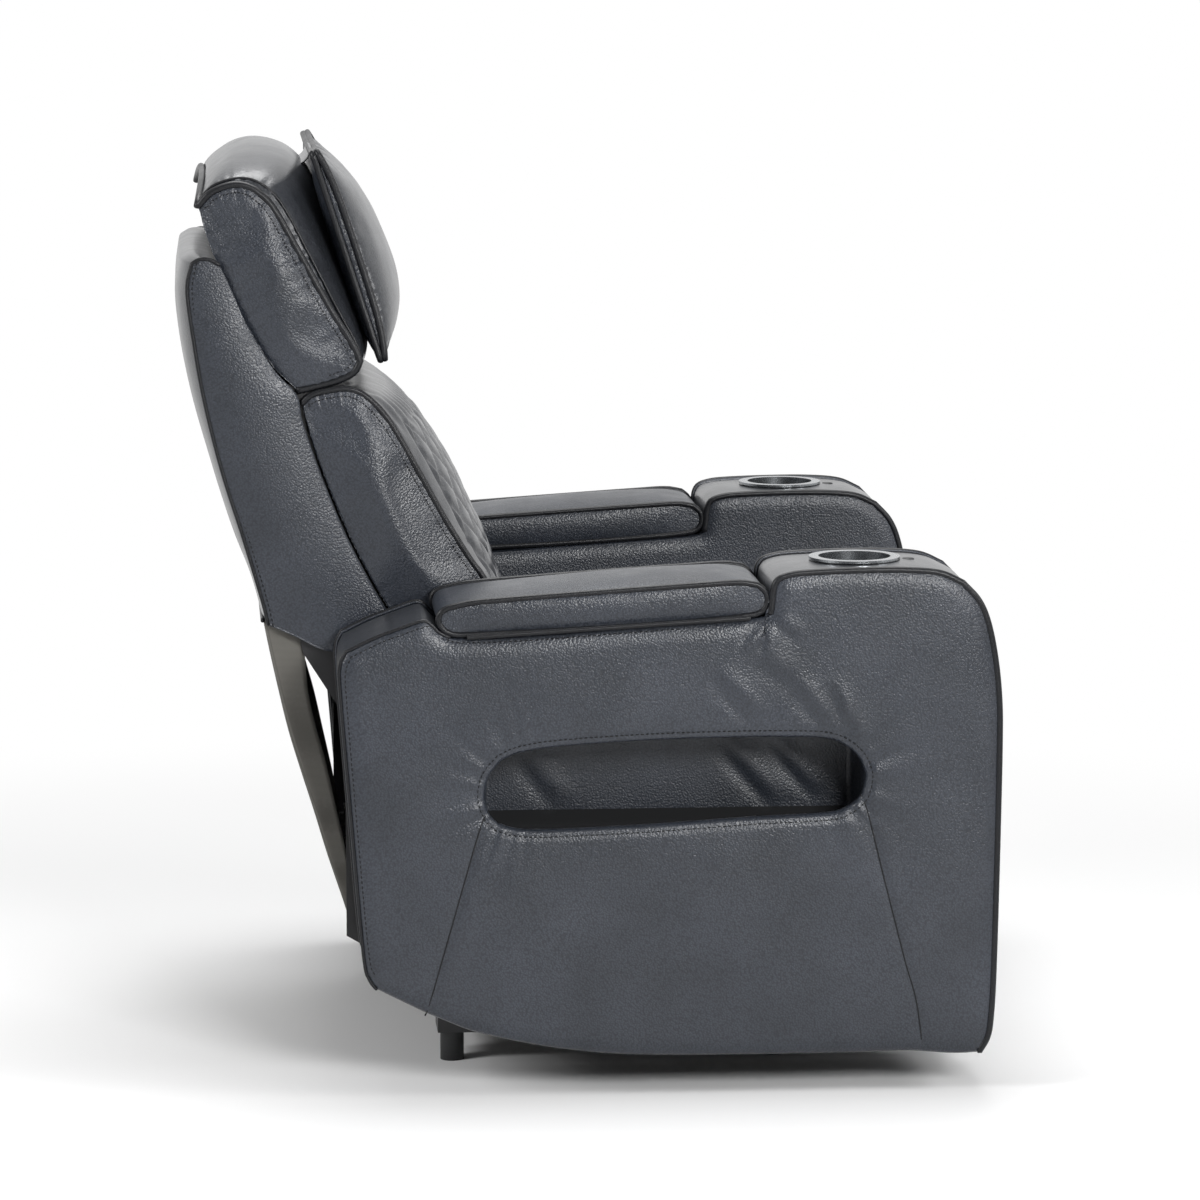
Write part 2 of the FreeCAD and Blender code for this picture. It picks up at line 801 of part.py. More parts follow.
seat_floor = v.plate_top + v.deck_thick + v.soft_gap
seat_top = seat_floor + v.seat_tall
seat_front = v.deck_front + v.seat_front_over
seat_side = [
    (v.deck_rear, seat_floor),
    (seat_front, seat_floor),
    (seat_front - v.seat_front_over, seat_top),
    (v.deck_rear + v.seat_front_over, seat_top),
]
seat_middle = seat_side[:2] + [(x, z + v.seat_crown / 3) for x, z in seat_side[2:]]
nodes["seat_cushion"] = crowned(
    "seat_cushion",
    v.seat_half,
    (seat_side, [0.01, 6, 3, 2]),
    (seat_middle, [0.01, 9, v.seat_crown * 2 / 3, 4]),
    v.seat_tall / 7,
    v.seat_tall / 5,
)

# Rocking base: rails on plastic feet, cross tubes, and curved cams bolted to the side plates
rail_left = box(
    "base_rail",
    ("rail_rear", "rail_front - rail_rear"),
    ("rail_in", "rail_out - rail_in"),
    (RAIL_FLOOR, "rail_tall"),
)
nodes["base_rails"] = pair("base_rails", rail_left)
nodes["base_tubes"] = group(
    "base_tubes",
    *[
        rod(
            f"base_tube_{x}",
            "Y",
            (x, "-rail_in", f"{RAIL_FLOOR} + rail_tall / 2"),
            "2 * rail_in",
            "base_tube_radius",
        )
        for x in ("foot_rear", "foot_front")
    ],
)
nodes["base_feet"] = group(
    "base_feet",
    *[
        rod(f"foot_{x}_{k}", "Z", (x, y, "0"), RAIL_FLOOR, "foot_radius")
        for x in ("foot_rear", "foot_front")
        for k, y in enumerate(("foot_y", "-foot_y"))
    ],
)
cam_near = "plate_face - cam_thick"
cam_block = box(
    "cam_block",
    ("cam_rear", "cam_front - cam_rear"),
    (cam_near, "cam_thick"),
    ("rock_z - rock_radius - cam_thick", "cam_top - rock_z + rock_radius + cam_thick"),
)
cam_round = rod(
    "cam_round",
    "Y",
    ("rock_x", f"{cam_near} - cam_thick", "rock_z"),
    "3 * cam_thick",
    "rock_radius",
)
cam_shape = doc.addObject("Part::Common", "cam_shape")
cam_shape.Base = cam_block
cam_shape.Tool = cam_round
spring_spots = ["rock_x - spring_reach", "rock_x + spring_reach"]
cam_lugs = [
    box(
        f"cam_lug_{k}",
        (f"{x} - lug_half", "2 * lug_half"),
        ("spring_y - lug_half", f"{cam_near} - spring_y + lug_half + lug_thick"),
        ("cam_top - lug_thick", "lug_thick"),
    )
    for k, x in enumerate(spring_spots)
]
nodes["rocker_cams"] = pair("rocker_cams", fuse("rocker_cam", cam_shape, *cam_lugs))
springs = []
for k, x in enumerate(spring_spots):
    spring_tall = f"cam_top - lug_thick - {RAIL_TOP} - rock_gap"
    sleeve = rod(f"spring_outer_{k}", "Z", (x, "spring_y", RAIL_TOP), spring_tall, "spring_radius")
    core = rod(
        f"spring_core_{k}",
        "Z",
        (x, "spring_y", RAIL_TOP),
        spring_tall,
        "spring_radius - spring_wall",
    )
    springs.append(cut(f"rocker_spring_{k}", sleeve, core))
nodes["rocker_springs"] = group(
    "rocker_springs",
    *springs,
    *[mirror(f"rocker_spring_right_{k}", s) for k, s in enumerate(springs)],
)

# Legrest: two crossed pairs of links on each side, a torque tube with a crank, and the footrest
main_link = fuse(
    "main_link",
    link("main_bar", OUTER_LINK, "link_long"),
    stud("main_stud_root", "0", OUTER_LINK, "plate_face + plate_thick + stud_over"),
    stud("main_stud_mid", "link_long / 2", f"{INNER_LINK} - stud_over", f"{OUTER_LINK} + link_thick"),
    stud("main_stud_end", "link_long", f"{INNER_LINK} - stud_over", f"{OUTER_LINK} + link_thick"),
)
put(turn(main_link, (0, 1, 0), "link_fold"), "leg_x", "0", "leg_z")
nodes["legrest_main_links"] = pair("legrest_main_links", main_link)

cross_link = fuse(
    "cross_link",
    link("cross_bar", INNER_LINK, "link_long", ["link_long / 2"]),
    stud("cross_stud_guide", "0", INNER_LINK, "plate_face + plate_thick + stud_over"),
    stud("cross_stud_end", "link_long", INNER_LINK, f"{OUTER_LINK} + link_thick + link_gap / 2"),
)
put(turn(cross_link, (0, -1, 0), "link_fold"), "leg_x", "0", "leg_z - link_long * sin(link_fold)")
nodes["legrest_cross_links"] = pair("legrest_cross_links", cross_link)

tie_link = link("tie_bar", OUTER_LINK, "link_long / 2", ["0", "link_long / 2"])
put(turn(tie_link, (0, 1, 0), "link_fold"), "leg_x + link_long * cos(link_fold)", "0", "leg_z")
nodes["legrest_tie_links"] = pair("legrest_tie_links", tie_link)

front_link = fuse(
    "front_link",
    link("front_bar", INNER_LINK, "link_long", ["0"]),
    stud("front_stud_mid", "link_long / 2", INNER_LINK, f"{OUTER_LINK} + link_thick + link_gap / 2"),
    stud("front_stud_end", "link_long", INNER_LINK, f"{OUTER_LINK} + link_thick + link_gap / 2"),
)
put(
    turn(front_link, (0, -1, 0), "link_fold"),
    "leg_x + link_long * cos(link_fold)",
    "0",
    "leg_z - link_long * sin(link_fold)",
)
nodes["legrest_front_links"] = pair("legrest_front_links", front_link)

torque_x = "(leg_x + torque_at * cos(link_fold))"
torque_z = "(leg_z - torque_at * sin(link_fold))"
leg_pin_x = f"(leg_x - leg_crank * sin({LEG_SWING}))"
leg_pin_z = f"(leg_z - leg_crank * cos({LEG_SWING}))"
crank_near = "drive_y - crank_thick / 2"
fork_near = "(drive_y - crank_thick / 2 - fork_gap - fork_thick)"
pin_long = f"drive_y + crank_thick / 2 - {fork_near} + stud_over"
torque_tube = rod(
    "torque_rod",
    "Y",
    (torque_x, f"-{OUTER_LINK}", torque_z),
    f"2 * {OUTER_LINK}",
    "torque_radius",
)
leg_crank_plate = profile(
    "leg_crank_plate",
    [
        (f"{leg_pin_x} - crank_half", f"{leg_pin_z} - crank_half"),
        (f"{leg_pin_x} + crank_half", f"{leg_pin_z} - crank_half"),
        (f"{torque_x} + torque_radius", torque_z),
        (torque_x, f"{torque_z} + torque_radius"),
        (f"{leg_pin_x} - crank_half", f"{leg_pin_z} + crank_half"),
    ],
    f"-{crank_near} - crank_thick",
    "crank_thick",
)
leg_pin = rod("leg_pin", "Y", (leg_pin_x, "-drive_y - crank_thick / 2", leg_pin_z), pin_long, "pin_radius")
nodes["legrest_torque_tube"] = fuse("legrest_torque_tube", torque_tube, leg_crank_plate, leg_pin)

board_z = ("leg_z + foot_top_rise - foot_tall", "foot_tall")
board_blank = box("board_blank", (FOOT_BACK, "foot_board_thick"), ("-foot_half", "2 * foot_half"), board_z)
nodes["footrest_board"] = board_blank
foot_back = v.leg_x + 2 * v.link_long * math.cos(math.radians(v.link_fold)) + v.foot_board_back
pad_back = foot_back + v.foot_board_thick + v.soft_gap
pad_low = v.leg_z + v.foot_top_rise - v.foot_tall
foot_side = [
    (pad_back, pad_low),
    (pad_back + v.foot_pad_thick, pad_low),
    (pad_back + v.foot_pad_thick, pad_low + v.foot_tall),
    (pad_back, pad_low + v.foot_tall),
]
nodes["footrest_pad"] = crowned(
    "footrest_pad",
    v.foot_half,
    (foot_side, [0.01, 1, 0.01, 0.01]),
    (foot_side, [0.01, 6, 0.01, 0.01]),
    v.foot_pad_thick / 8,
    v.foot_pad_thick / 4,
)
bracket_blank = profile(
    "bracket_blank",
    [
        (f"{FOOT_PIVOT} - link_half", "leg_z - link_half", "link_half / 2"),
        (f"{FOOT_BACK} - link_thick", "leg_z - link_half"),
        (f"{FOOT_BACK} - link_thick", "leg_z - foot_flange"),
        (FOOT_BACK, "leg_z - foot_flange"),
        (FOOT_BACK, "leg_z + foot_top_rise"),
        (f"{FOOT_PIVOT} - link_half", "leg_z + foot_top_rise", "link_half / 2"),
    ],
    OUTER_LINK,
    "link_thick",
)
bracket_flange = box(
    "bracket_flange",
    (f"{FOOT_BACK} - link_thick", "link_thick"),
    (f"{INNER_LINK} - 2 * link_half", f"{OUTER_LINK} + link_thick - {INNER_LINK} + 2 * link_half"),
    ("leg_z - foot_flange", "foot_flange - 2 * link_half"),
)
bracket_hole = rod(
    "bracket_hole",
    "Y",
    (FOOT_PIVOT, OUTER_LINK, "leg_z"),
    "link_thick",
    "stud_radius + stud_play",
)
foot_bracket = cut("foot_bracket", fuse("bracket_bent", bracket_blank, bracket_flange), bracket_hole)
nodes["footrest_brackets"] = pair("footrest_brackets", foot_bracket)


def carriage(name, pin_x, pin_z, near, rail_z):
    """Block that runs along a rail, with an upright fork whose slot takes a crank's pin."""
    middle = f"({near} + fork_thick / 2)"
    block = box(
        name + "_block",
        (f"{pin_x} - carriage_half", "2 * carriage_half"),
        (f"{middle} - carriage_side", "2 * carriage_side"),
        (f"{rail_z} - carriage_side", "2 * carriage_side"),
    )
    blade = box(
        name + "_blade",
        (f"{pin_x} - fork_half", "2 * fork_half"),
        (near, "fork_thick"),
        (rail_z, f"{pin_z} + fork_above + pin_radius - {rail_z}"),
    )
    bore = rod(
        name + "_bore",
        "X",
        (f"{pin_x} - 2 * carriage_half", middle, rail_z),
        "4 * carriage_half",
        "rail_radius + rail_play",
    )
    slot = box(
        name + "_slot",
        (f"{pin_x} - pin_radius - fork_play", "2 * pin_radius + 2 * fork_play"),
        (near, "fork_thick"),
        (f"{pin_z} - fork_below", "fork_below + fork_above"),
    )
    return cut(name, fuse(name + "_blank", block, blade), bore, slot)


def actuator(name, y, rail_z, rail_x, gear_x, motor_z, clevis_x, clevis_z, tube):
    """Gearbox with a motor, a round rail, and a clevis that wraps a frame tube."""
    gear = box(
        name + "_gear",
        (gear_x, "gear_long"),
        (f"{y} - gear_half", "2 * gear_half"),
        (f"{rail_z} - gear_half", "2 * gear_half"),
    )
    motor = rod(
        name + "_motor",
        "Z",
        (f"{gear_x} + gear_long / 2", y, motor_z),
        "motor_long",
        "motor_radius",
    )
    rail = rod(name + "_rail", "X", (rail_x[0], y, rail_z), rail_x[1], "rail_radius")
    clevis = box(name + "_clevis", clevis_x, (f"{y} - clevis_half", "2 * clevis_half"), clevis_z)
    bore = rod(
        name + "_bore",
        "Y",
        (tube[0], f"{y} - 2 * clevis_half", tube[1]),
        "4 * clevis_half",
        "tube_radius + stud_play",
    )
    return cut(name, fuse(name + "_blank", gear, motor, rail, clevis), bore)


tube_grip = "(tube_radius + clevis_wall)"
leg_drive_y = f"(-{fork_near} - fork_thick / 2)"
back_drive_y = f"({fork_near} + fork_thick / 2)"
nodes["legrest_carriage"] = carriage(
    "legrest_carriage", leg_pin_x, leg_pin_z, f"(-{fork_near} - fork_thick)", "leg_rail_z"
)
nodes["legrest_actuator"] = actuator(
    "legrest_actuator",
    leg_drive_y,
    "leg_rail_z",
    ("leg_rail_rear - gear_half", "leg_rail_front - leg_rail_rear + gear_half"),
    "leg_rail_rear - gear_long",
    "leg_rail_z",
    (f"rear_tube_x - {tube_grip}", f"leg_rail_rear - gear_half - rear_tube_x + {tube_grip}"),
    (f"rear_tube_z - {tube_grip}", f"2 * {tube_grip}"),
    ("rear_tube_x", "rear_tube_z"),
)

# Backrest: welded frame, upholstered shell, lumbar cushion and the crank that the recline drive pulls
bar_outline = [
    ("pivot_x - pivot_boss", "pivot_z - pivot_boss"),
    ("pivot_x + pivot_boss", "pivot_z - pivot_boss"),
    ("pivot_x + pivot_boss", "pivot_z + pivot_boss"),
    ("seam_low - bar_thick", "seam_low_z"),
    ("seam_high - bar_thick", "seam_high_z"),
    ("head_x", "head_z - head_barrel + soft_gap"),
    ("head_x + head_barrel", "head_z"),
    ("head_x", "head_z + head_barrel - soft_gap"),
    ("seam_high - 2 * head_barrel", "head_z + head_rod"),
    ("seam_high - 2 * pivot_boss", "seam_high_z - pivot_boss"),
    ("back_tube_x - pivot_boss", "back_tube_z"),
    ("back_tube_x - bar_thick", "shell_under_z"),
]
bar_blank = profile("bar_blank", bar_outline, BAR_NEAR, "bar_thick")
bar_hole = rod("bar_hole", "Y", ("pivot_x", BAR_NEAR, "pivot_z"), "bar_thick", "pivot_pin + stud_play")
frame_bar = cut("frame_bar", bar_blank, bar_hole)
back_span = (f"-{BAR_NEAR} - bar_thick / 2", f"2 * {BAR_NEAR} + bar_thick")
back_tube = rod(
    "back_tube",
    "Y",
    ("back_tube_x", back_span[0], "back_tube_z"),
    back_span[1],
    "back_tube_radius",
)
head_rod = rod("head_hinge", "Y", ("head_x", back_span[0], "head_z"), back_span[1], "head_rod")
nodes["back_frame"] = fuse(
    "back_frame",
    frame_bar,
    mirror("frame_bar_right", frame_bar),
    back_tube,
    head_rod,
)

shell_outline = [
    ("shell_rear", "shell_top", "shell_round"),
    ("shell_rear", "shell_bulge_z"),
    ("shell_low_rear", "shell_low_rear_z"),
    ("shell_under", "shell_under_z"),
    ("seam_low - 2 * soft_gap", "seam_low_z"),
    ("seam_high - 2 * soft_gap", "seam_high_z"),
    ("head_low - bar_thick - 2 * head_plate_thick", "head_low_z"),
    ("shell_crown_x", "shell_crown_z", "shell_round / 2"),
]
shell_hollow = [
    ("shell_rear + shell_wall", "shell_top - shell_wall - shell_round"),
    ("shell_rear + shell_wall", "shell_bulge_z"),
    ("shell_low_rear + shell_wall", "shell_low_rear_z"),
    ("shell_low_rear + shell_wall", "pivot_z"),
    ("lumbar_low", "pivot_z"),
    ("lumbar_low", "shell_top - shell_wall - shell_round"),
]
shell_blank = profile("shell_blank", shell_outline, "-back_half", "2 * back_half")
shell_core = profile("shell_core", shell_hollow, "-back_half + shell_wall", "2 * back_half - 2 * shell_wall")
nodes["back_shell"] = cut("back_shell", shell_blank, shell_core)

lumbar_side = [
    (v.seam_low, v.seam_low_z),
    (v.lumbar_low, v.seam_low_z),
    (v.lumbar_high, v.lumbar_high_z),
    (v.seam_high, v.seam_high_z),
]
lumbar_middle = [
    lumbar_side[0],
    (v.lumbar_low + v.lumbar_crown / 3, v.seam_low_z),
    (v.lumbar_high + v.lumbar_crown, v.lumbar_high_z + v.lumbar_crown / 2),
    lumbar_side[3],
]
lumbar_plain = crowned(
    "lumbar_plain",
    v.lumbar_half,
    (lumbar_side, [0.01, 4, 1, 0.01]),
    (lumbar_middle, [0.01, v.lumbar_crown / 2, 2, 0.01]),
    v.lumbar_crown / 2,
    v.lumbar_crown * 0.7,
    (0, 3),
)

# Diamond stitching on the front: crossing grooves, as deep as a core set back from the front face
quilt_x = v.lumbar_high - v.lumbar_low
quilt_z = v.lumbar_high_z - v.seam_low_z
quilt_run = math.hypot(quilt_x, quilt_z)
quilt_up = Vec(quilt_x / quilt_run, 0, quilt_z / quilt_run)
quilt_out = Vec(quilt_z / quilt_run, 0, -quilt_x / quilt_run)
quilt_over = 2 * v.lumbar_crown


def set_back(outline):
    """The outline made longer all round but for its front, which moves back by the stitch's depth."""
    (rear_low, front_low, front_high, rear_high) = outline
    up, out = quilt_up * quilt_over, quilt_out * v.stitch_deep
    return [
        (rear_low[0] - quilt_over, rear_low[1] - quilt_over),
        (front_low[0] - up.x - out.x, front_low[1] - up.z - out.z),
        (front_high[0] + up.x - out.x, front_high[1] + up.z - out.z),
        (rear_high[0] - quilt_over, rear_high[1] + quilt_over),
    ]


lumbar_core = crowned(
    "lumbar_core",
    v.lumbar_half + v.cover_step,
    (set_back(lumbar_side), [0.01, 4, 1, 0.01]),
    (set_back(lumbar_middle), [0.01, v.lumbar_crown / 2, 2, 0.01]),
    v.lumbar_crown / 2,
    v.lumbar_crown * 0.7,
    (0, 3),
)


def quilt_box(along, across, wide, long):
    """Upright slab through the cushion's front, centred on its foot, along one direction of the front."""
    slab = Part.makeBox(long, wide, 4 * quilt_over, Vec(-long / 2, -wide / 2, -2 * quilt_over))
    turned = FreeCAD.Rotation(along, quilt_out.cross(along), quilt_out, "XYZ")
    slab.Placement = FreeCAD.Placement(across, turned)
    return slab


quilt_foot = Vec(v.lumbar_low, 0, v.seam_low_z)
quilt_half = v.lumbar_half - v.quilt_border
quilt_long = quilt_run - v.quilt_low - v.quilt_high
quilt_panel = quilt_box(
    quilt_up,
    quilt_foot + quilt_up * (v.quilt_low + quilt_long / 2),
    2 * quilt_half,
    quilt_long,
)
quilt_lines = math.ceil(quilt_half / v.quilt_wide + quilt_run / v.quilt_tall / 2)
slabs = []
for lean in (-1, 1):
    along = Vec(0, lean * v.quilt_wide, 0) + quilt_up * v.quilt_tall
    along.normalize()
    for k in range(-quilt_lines, quilt_lines + 1):
        middle = quilt_foot + quilt_up * (quilt_run / 2) + Vec(0, k * v.quilt_wide, 0)
        slabs.append(quilt_box(along, middle, v.stitch_wide, 2 * quilt_run))
stitching = slabs[0].multiFuse(slabs[1:]).common(quilt_panel).cut(lumbar_core.Shape)
nodes["lumbar_cushion"] = doc.addObject("Part::Feature", "lumbar_cushion")
nodes["lumbar_cushion"].Shape = lumbar_plain.Shape.cut(stitching)

back_pin_x = "(pivot_x - back_crank * sin(back_crank_lead))"
back_pin_z = "(pivot_z - back_crank * cos(back_crank_lead))"
crank_tube = rod(
    "crank_tube",
    "Y",
    ("crank_tube_x", f"-{BAR_NEAR}", "crank_tube_z"),
    f"2 * {BAR_NEAR}",
    "back_tube_radius",
)
back_crank_plate = profile(
    "back_crank_plate",
    [
        (f"{back_pin_x} - crank_half", f"{back_pin_z} - crank_half"),
        (f"{back_pin_x} + crank_half", f"{back_pin_z} - crank_half"),
        ("crank_tube_x + crank_half", "crank_tube_z"),
        ("crank_tube_x - crank_half", "crank_tube_z"),
    ],
    crank_near,
    "crank_thick",
)
back_pin = rod(
    "back_pin_rod",
    "Y",
    (back_pin_x, f"{fork_near} - stud_over", back_pin_z),
    pin_long,
    "pin_radius",
)
nodes["recline_crank"] = fuse("recline_crank", crank_tube, back_crank_plate, back_pin)
nodes["recline_carriage"] = carriage("recline_carriage", back_pin_x, back_pin_z, fork_near, "back_rail_z")
nodes["recline_actuator"] = actuator(
    "recline_actuator",
    back_drive_y,
    "back_rail_z",
    ("back_rail_rear", "back_rail_front - back_rail_rear + gear_half"),
    "back_rail_front",
    "back_rail_z - motor_long",
    (f"front_tube_x - {tube_grip}", f"2 * {tube_grip}"),
    ("back_rail_z - gear_half / 2", f"front_tube_z + {tube_grip} - back_rail_z + gear_half / 2"),
    ("front_tube_x", "front_tube_z"),
)
inlet_block = box(
    "inlet_block",
    (f"rear_tube_x - {tube_grip}", f"2 * {tube_grip}"),
    ("inlet_y - inlet_half", "2 * inlet_half"),
    (f"rear_tube_z - {tube_grip}", "inlet_long"),
)
inlet_tube = rod(
    "inlet_tube",
    "Y",
    ("rear_tube_x", "inlet_y - 2 * inlet_half", "rear_tube_z"),
    "4 * inlet_half",
    "tube_radius + stud_play",
)
inlet_hole = rod(
    "inlet_hole",
    "Z",
    ("rear_tube_x", "inlet_y", f"rear_tube_z - {tube_grip}"),
    "clevis_wall / 2",
    "inlet_bore",
)
nodes["power_inlet"] = cut("power_inlet", inlet_block, inlet_tube, inlet_hole)

under_fall = "((shell_low_rear_z - shell_under_z) / (shell_under - shell_low_rear))"
flap_top = f"shell_low_rear_z - (soft_gap + flap_thick) * {under_fall} - soft_gap"
nodes["rear_flap"] = profile(
    "rear_flap",
    [
        ("shell_low_rear + soft_gap", flap_top),
        ("flap_mid", "flap_mid_z"),
        ("flap_low", "flap_low_z"),
        ("flap_low + flap_thick", "flap_low_z"),
        ("flap_mid + flap_thick", "flap_mid_z"),
        ("shell_low_rear + soft_gap + flap_thick", flap_top),
    ],
    "-flap_half",
    "2 * flap_half",
)

# Headrest: cushion on a hinged plate, driven by a small actuator in the back, and the pillow in front of it
head_side = [
    (v.head_low, v.head_low_z),
    (v.head_front, v.head_front_z),
    (v.head_tip, v.head_tip_z),
    (v.head_back, v.head_back_z),
]
head_middle = [
    head_side[0],
    (v.head_front + v.head_crown_x / 4, v.head_front_z + v.head_crown_z / 6),
    (v.head_tip + v.head_crown_x, v.head_tip_z + v.head_crown_z * 0.8),
    (v.head_back + v.head_crown_x / 8, v.head_back_z + v.head_crown_z * 1.6),
]
nodes["head_cushion"] = crowned(
    "head_cushion",
    v.head_half,
    (head_side, [0.01, 3, 3, 0.01]),
    (head_middle, [0.01, v.head_bulge, v.head_crown_z * 0.8, 0.01]),
    v.head_crown_z / 2,
    v.head_crown_z * 0.7,
    (0, 3),
)

# The plate follows the cushion's rear face where the plate's side edges lie
edge_full = "(1 - (head_plate_half / head_half) ^ 2.2)"
edge_x = f"(head_back + {edge_full} * head_crown_x / 8)"
edge_z = f"(head_back_z + {edge_full} * head_crown_z * 1.6)"
head_run = f"sqrt((head_low - {edge_x}) ^ 2 + ({edge_z} - head_low_z) ^ 2)"
lean_x = f"(({edge_x} - head_low) / {head_run})"
lean_z = f"(({edge_z} - head_low_z) / {head_run})"


def on_plate(along, behind):
    """Point beside the head cushion's rear face: how far up it, and how far behind it."""
    return (
        f"head_low + {lean_x} * ({along}) - {lean_z} * ({behind})",
        f"head_low_z + {lean_z} * ({along}) + {lean_x} * ({behind})",
    )


plate_back = "soft_gap + head_plate_thick"
head_plate = profile(
    "head_plate",
    [
        on_plate("-head_rod", "soft_gap"),
        on_plate("head_plate_tall", "soft_gap"),
        on_plate("head_plate_tall", plate_back),
        on_plate("-head_rod", plate_back),
    ],
    "-head_plate_half",
    "2 * head_plate_half",
)
head_shelf = profile(
    "head_shelf",
    [
        ("head_x", "head_z - head_plate_thick"),
        ("head_x", "head_z + head_plate_thick"),
        ("head_low", "head_low_z - head_plate_thick / 2"),
        ("head_low - 2 * head_plate_thick", "head_low_z - 2 * head_plate_thick"),
    ],
    "-head_plate_half",
    "2 * head_plate_half",
)
head_barrel = rod(
    "head_barrel_tube", "Y", ("head_x", "-head_plate_half", "head_z"), "2 * head_plate_half", "head_barrel"
)
head_pin_x = "(head_x - head_crank)"
head_arm = box(
    "head_arm",
    (f"{head_pin_x} - head_arm_half", "head_crank + head_arm_half"),
    ("-head_arm_thick / 2", "head_arm_thick"),
    ("head_z - head_arm_half", "2 * head_arm_half"),
)
head_pin = rod(
    "head_pin_rod",
    "Y",
    (head_pin_x, "-head_arm_thick / 2", "head_z"),
    "head_arm_thick + fork_gap + fork_thick",
    "head_pin",
)
head_bore = rod(
    "head_bore",
    "Y",
    ("head_x", "-2 * head_plate_half", "head_z"),
    "4 * head_plate_half",
    "head_rod + stud_play",
)
head_blank = fuse("head_blank", head_plate, head_shelf, head_barrel, head_arm, head_pin)
nodes["head_bracket"] = cut("head_bracket", head_blank, head_bore)

# The push rod moves straight up while its pin swings, so its fork's slot is long
pin_shift = "(head_crank * (1 - cos(head_tilt)) / 2)"
push_x = f"({head_pin_x} + {pin_shift})"
fork_y = "(head_arm_thick / 2 + fork_gap / 2)"
motor_y = f"({fork_y} + fork_thick / 2)"
slot_half = f"({pin_shift} + head_pin + head_fork_play)"
head_blade = box(
    "head_blade",
    (f"{push_x} - {slot_half} - head_pin", f"2 * {slot_half} + 2 * head_pin"),
    (fork_y, "fork_thick"),
    ("head_z - 5 * head_pin", "8 * head_pin"),
)
head_piston = rod(
    "head_piston",
    "Z",
    (push_x, motor_y, "head_z - head_rod_long"),
    "head_rod_long - 4 * head_pin",
    "head_rod_radius",
)
head_slot = box(
    "head_slot",
    (f"{push_x} - {slot_half}", f"2 * {slot_half}"),
    (fork_y, "fork_thick"),
    ("head_z - head_pin - head_fork_play", "2 * head_pin + 2 * head_fork_play"),
)
nodes["head_push_rod"] = cut("head_push_rod", fuse("push_blank", head_piston, head_blade), head_slot)

motor_top = "(head_z - head_rod_long * 0.6)"
motor_case = box(
    "head_motor_case",
    (f"{push_x} - head_motor_half", "2 * head_motor_half"),
    (f"{motor_y} - head_motor_half", "2 * head_motor_half"),
    (f"{motor_top} - head_motor_long", "head_motor_long"),
)
motor_bore = rod(
    "head_motor_bore",
    "Z",
    (push_x, motor_y, "head_z - head_rod_long - clevis_wall"),
    "head_rod_long",
    "head_rod_radius + rail_play",
)
motor_ear = box(
    "head_motor_ear",
    ("back_tube_x - back_tube_radius - clevis_wall", "2 * back_tube_radius + 2 * clevis_wall"),
    (f"{motor_y} - clevis_half", "2 * clevis_half"),
    ("back_tube_z - back_tube_radius - clevis_wall", f"{motor_top} - head_motor_long / 2 - back_tube_z"),
)
ear_hole = rod(
    "ear_hole",
    "Y",
    ("back_tube_x", "-back_half / 2", "back_tube_z"),
    "back_half",
    "back_tube_radius + stud_play",
)
head_motor_solid = fuse("head_motor_solid", motor_case, motor_ear)
nodes["head_motor"] = cut("head_motor", head_motor_solid, motor_bore, ear_hole)

# The pillow lies along the head cushion's crown
front_x = head_middle[2][0] - head_middle[1][0]
front_z = head_middle[2][1] - head_middle[1][1]
front_run = math.hypot(front_x, front_z)


def on_crown(along, ahead):
    """Point beside the head cushion's crown: how far up it, and how far in front of it."""
    ahead += v.head_bulge + v.soft_gap
    x = head_middle[1][0] + (along * front_x + ahead * front_z) / front_run
    z = head_middle[1][1] + (along * front_z - ahead * front_x) / front_run
    return x, z


pillow_side = [
    on_crown(v.pillow_start, 0),
    on_crown(v.pillow_start, v.pillow_edge),
    on_crown(v.pillow_end, v.pillow_edge),
    on_crown(v.pillow_end, 0),
]
nodes["pillow"] = crowned(
    "pillow",
    v.pillow_half,
    (pillow_side, [0.01, v.pillow_crown / 6, 0.01, 0.01]),
    (pillow_side, [0.01, v.pillow_crown, 0.01, 0.01]),
    v.pillow_edge / 6,
    v.pillow_edge / 4,
    (0, 3),
)

# Switch plate on the inside of the right arm, two rocker switches and a home button
plate_y = f"-{INNER_FACE}"
control_blank = box(
    "control_blank",
    ("control_x - control_long / 2", "control_long"),
    (plate_y, "control_thick"),
    ("control_z - control_tall / 2", "control_tall"),
)
switch_spots = {"recline_switch": "control_x - switch_step", "head_switch": "control_x"}
openings = [
    box(
        name + "_window",
        (f"{x} - switch_long / 2 - switch_gap", "switch_long + 2 * switch_gap"),
        (plate_y, "control_thick"),
        ("control_z - switch_tall / 2 - switch_gap", "switch_tall + 2 * switch_gap"),
    )
    for name, x in switch_spots.items()
]
home_x = "control_x + switch_step"
openings.append(
    rod("home_window", "Y", (home_x, plate_y, "control_z"), "control_thick", "home_radius + home_gap"),
)
nodes["control_plate"] = cut("control_plate", control_blank, *openings)
button_y = f"{plate_y} + control_thick - switch_deep"
for name, x in switch_spots.items():
    nodes[name] = box(
        name,
        (f"{x} - switch_long / 2", "switch_long"),
        (button_y, "switch_deep + switch_proud"),
        ("control_z - switch_tall / 2", "switch_tall"),
    )
nodes["home_button"] = rod(
    "home_button",
    "Y",
    (home_x, button_y, "control_z"),
    "switch_deep + switch_proud",
    "home_radius",
)

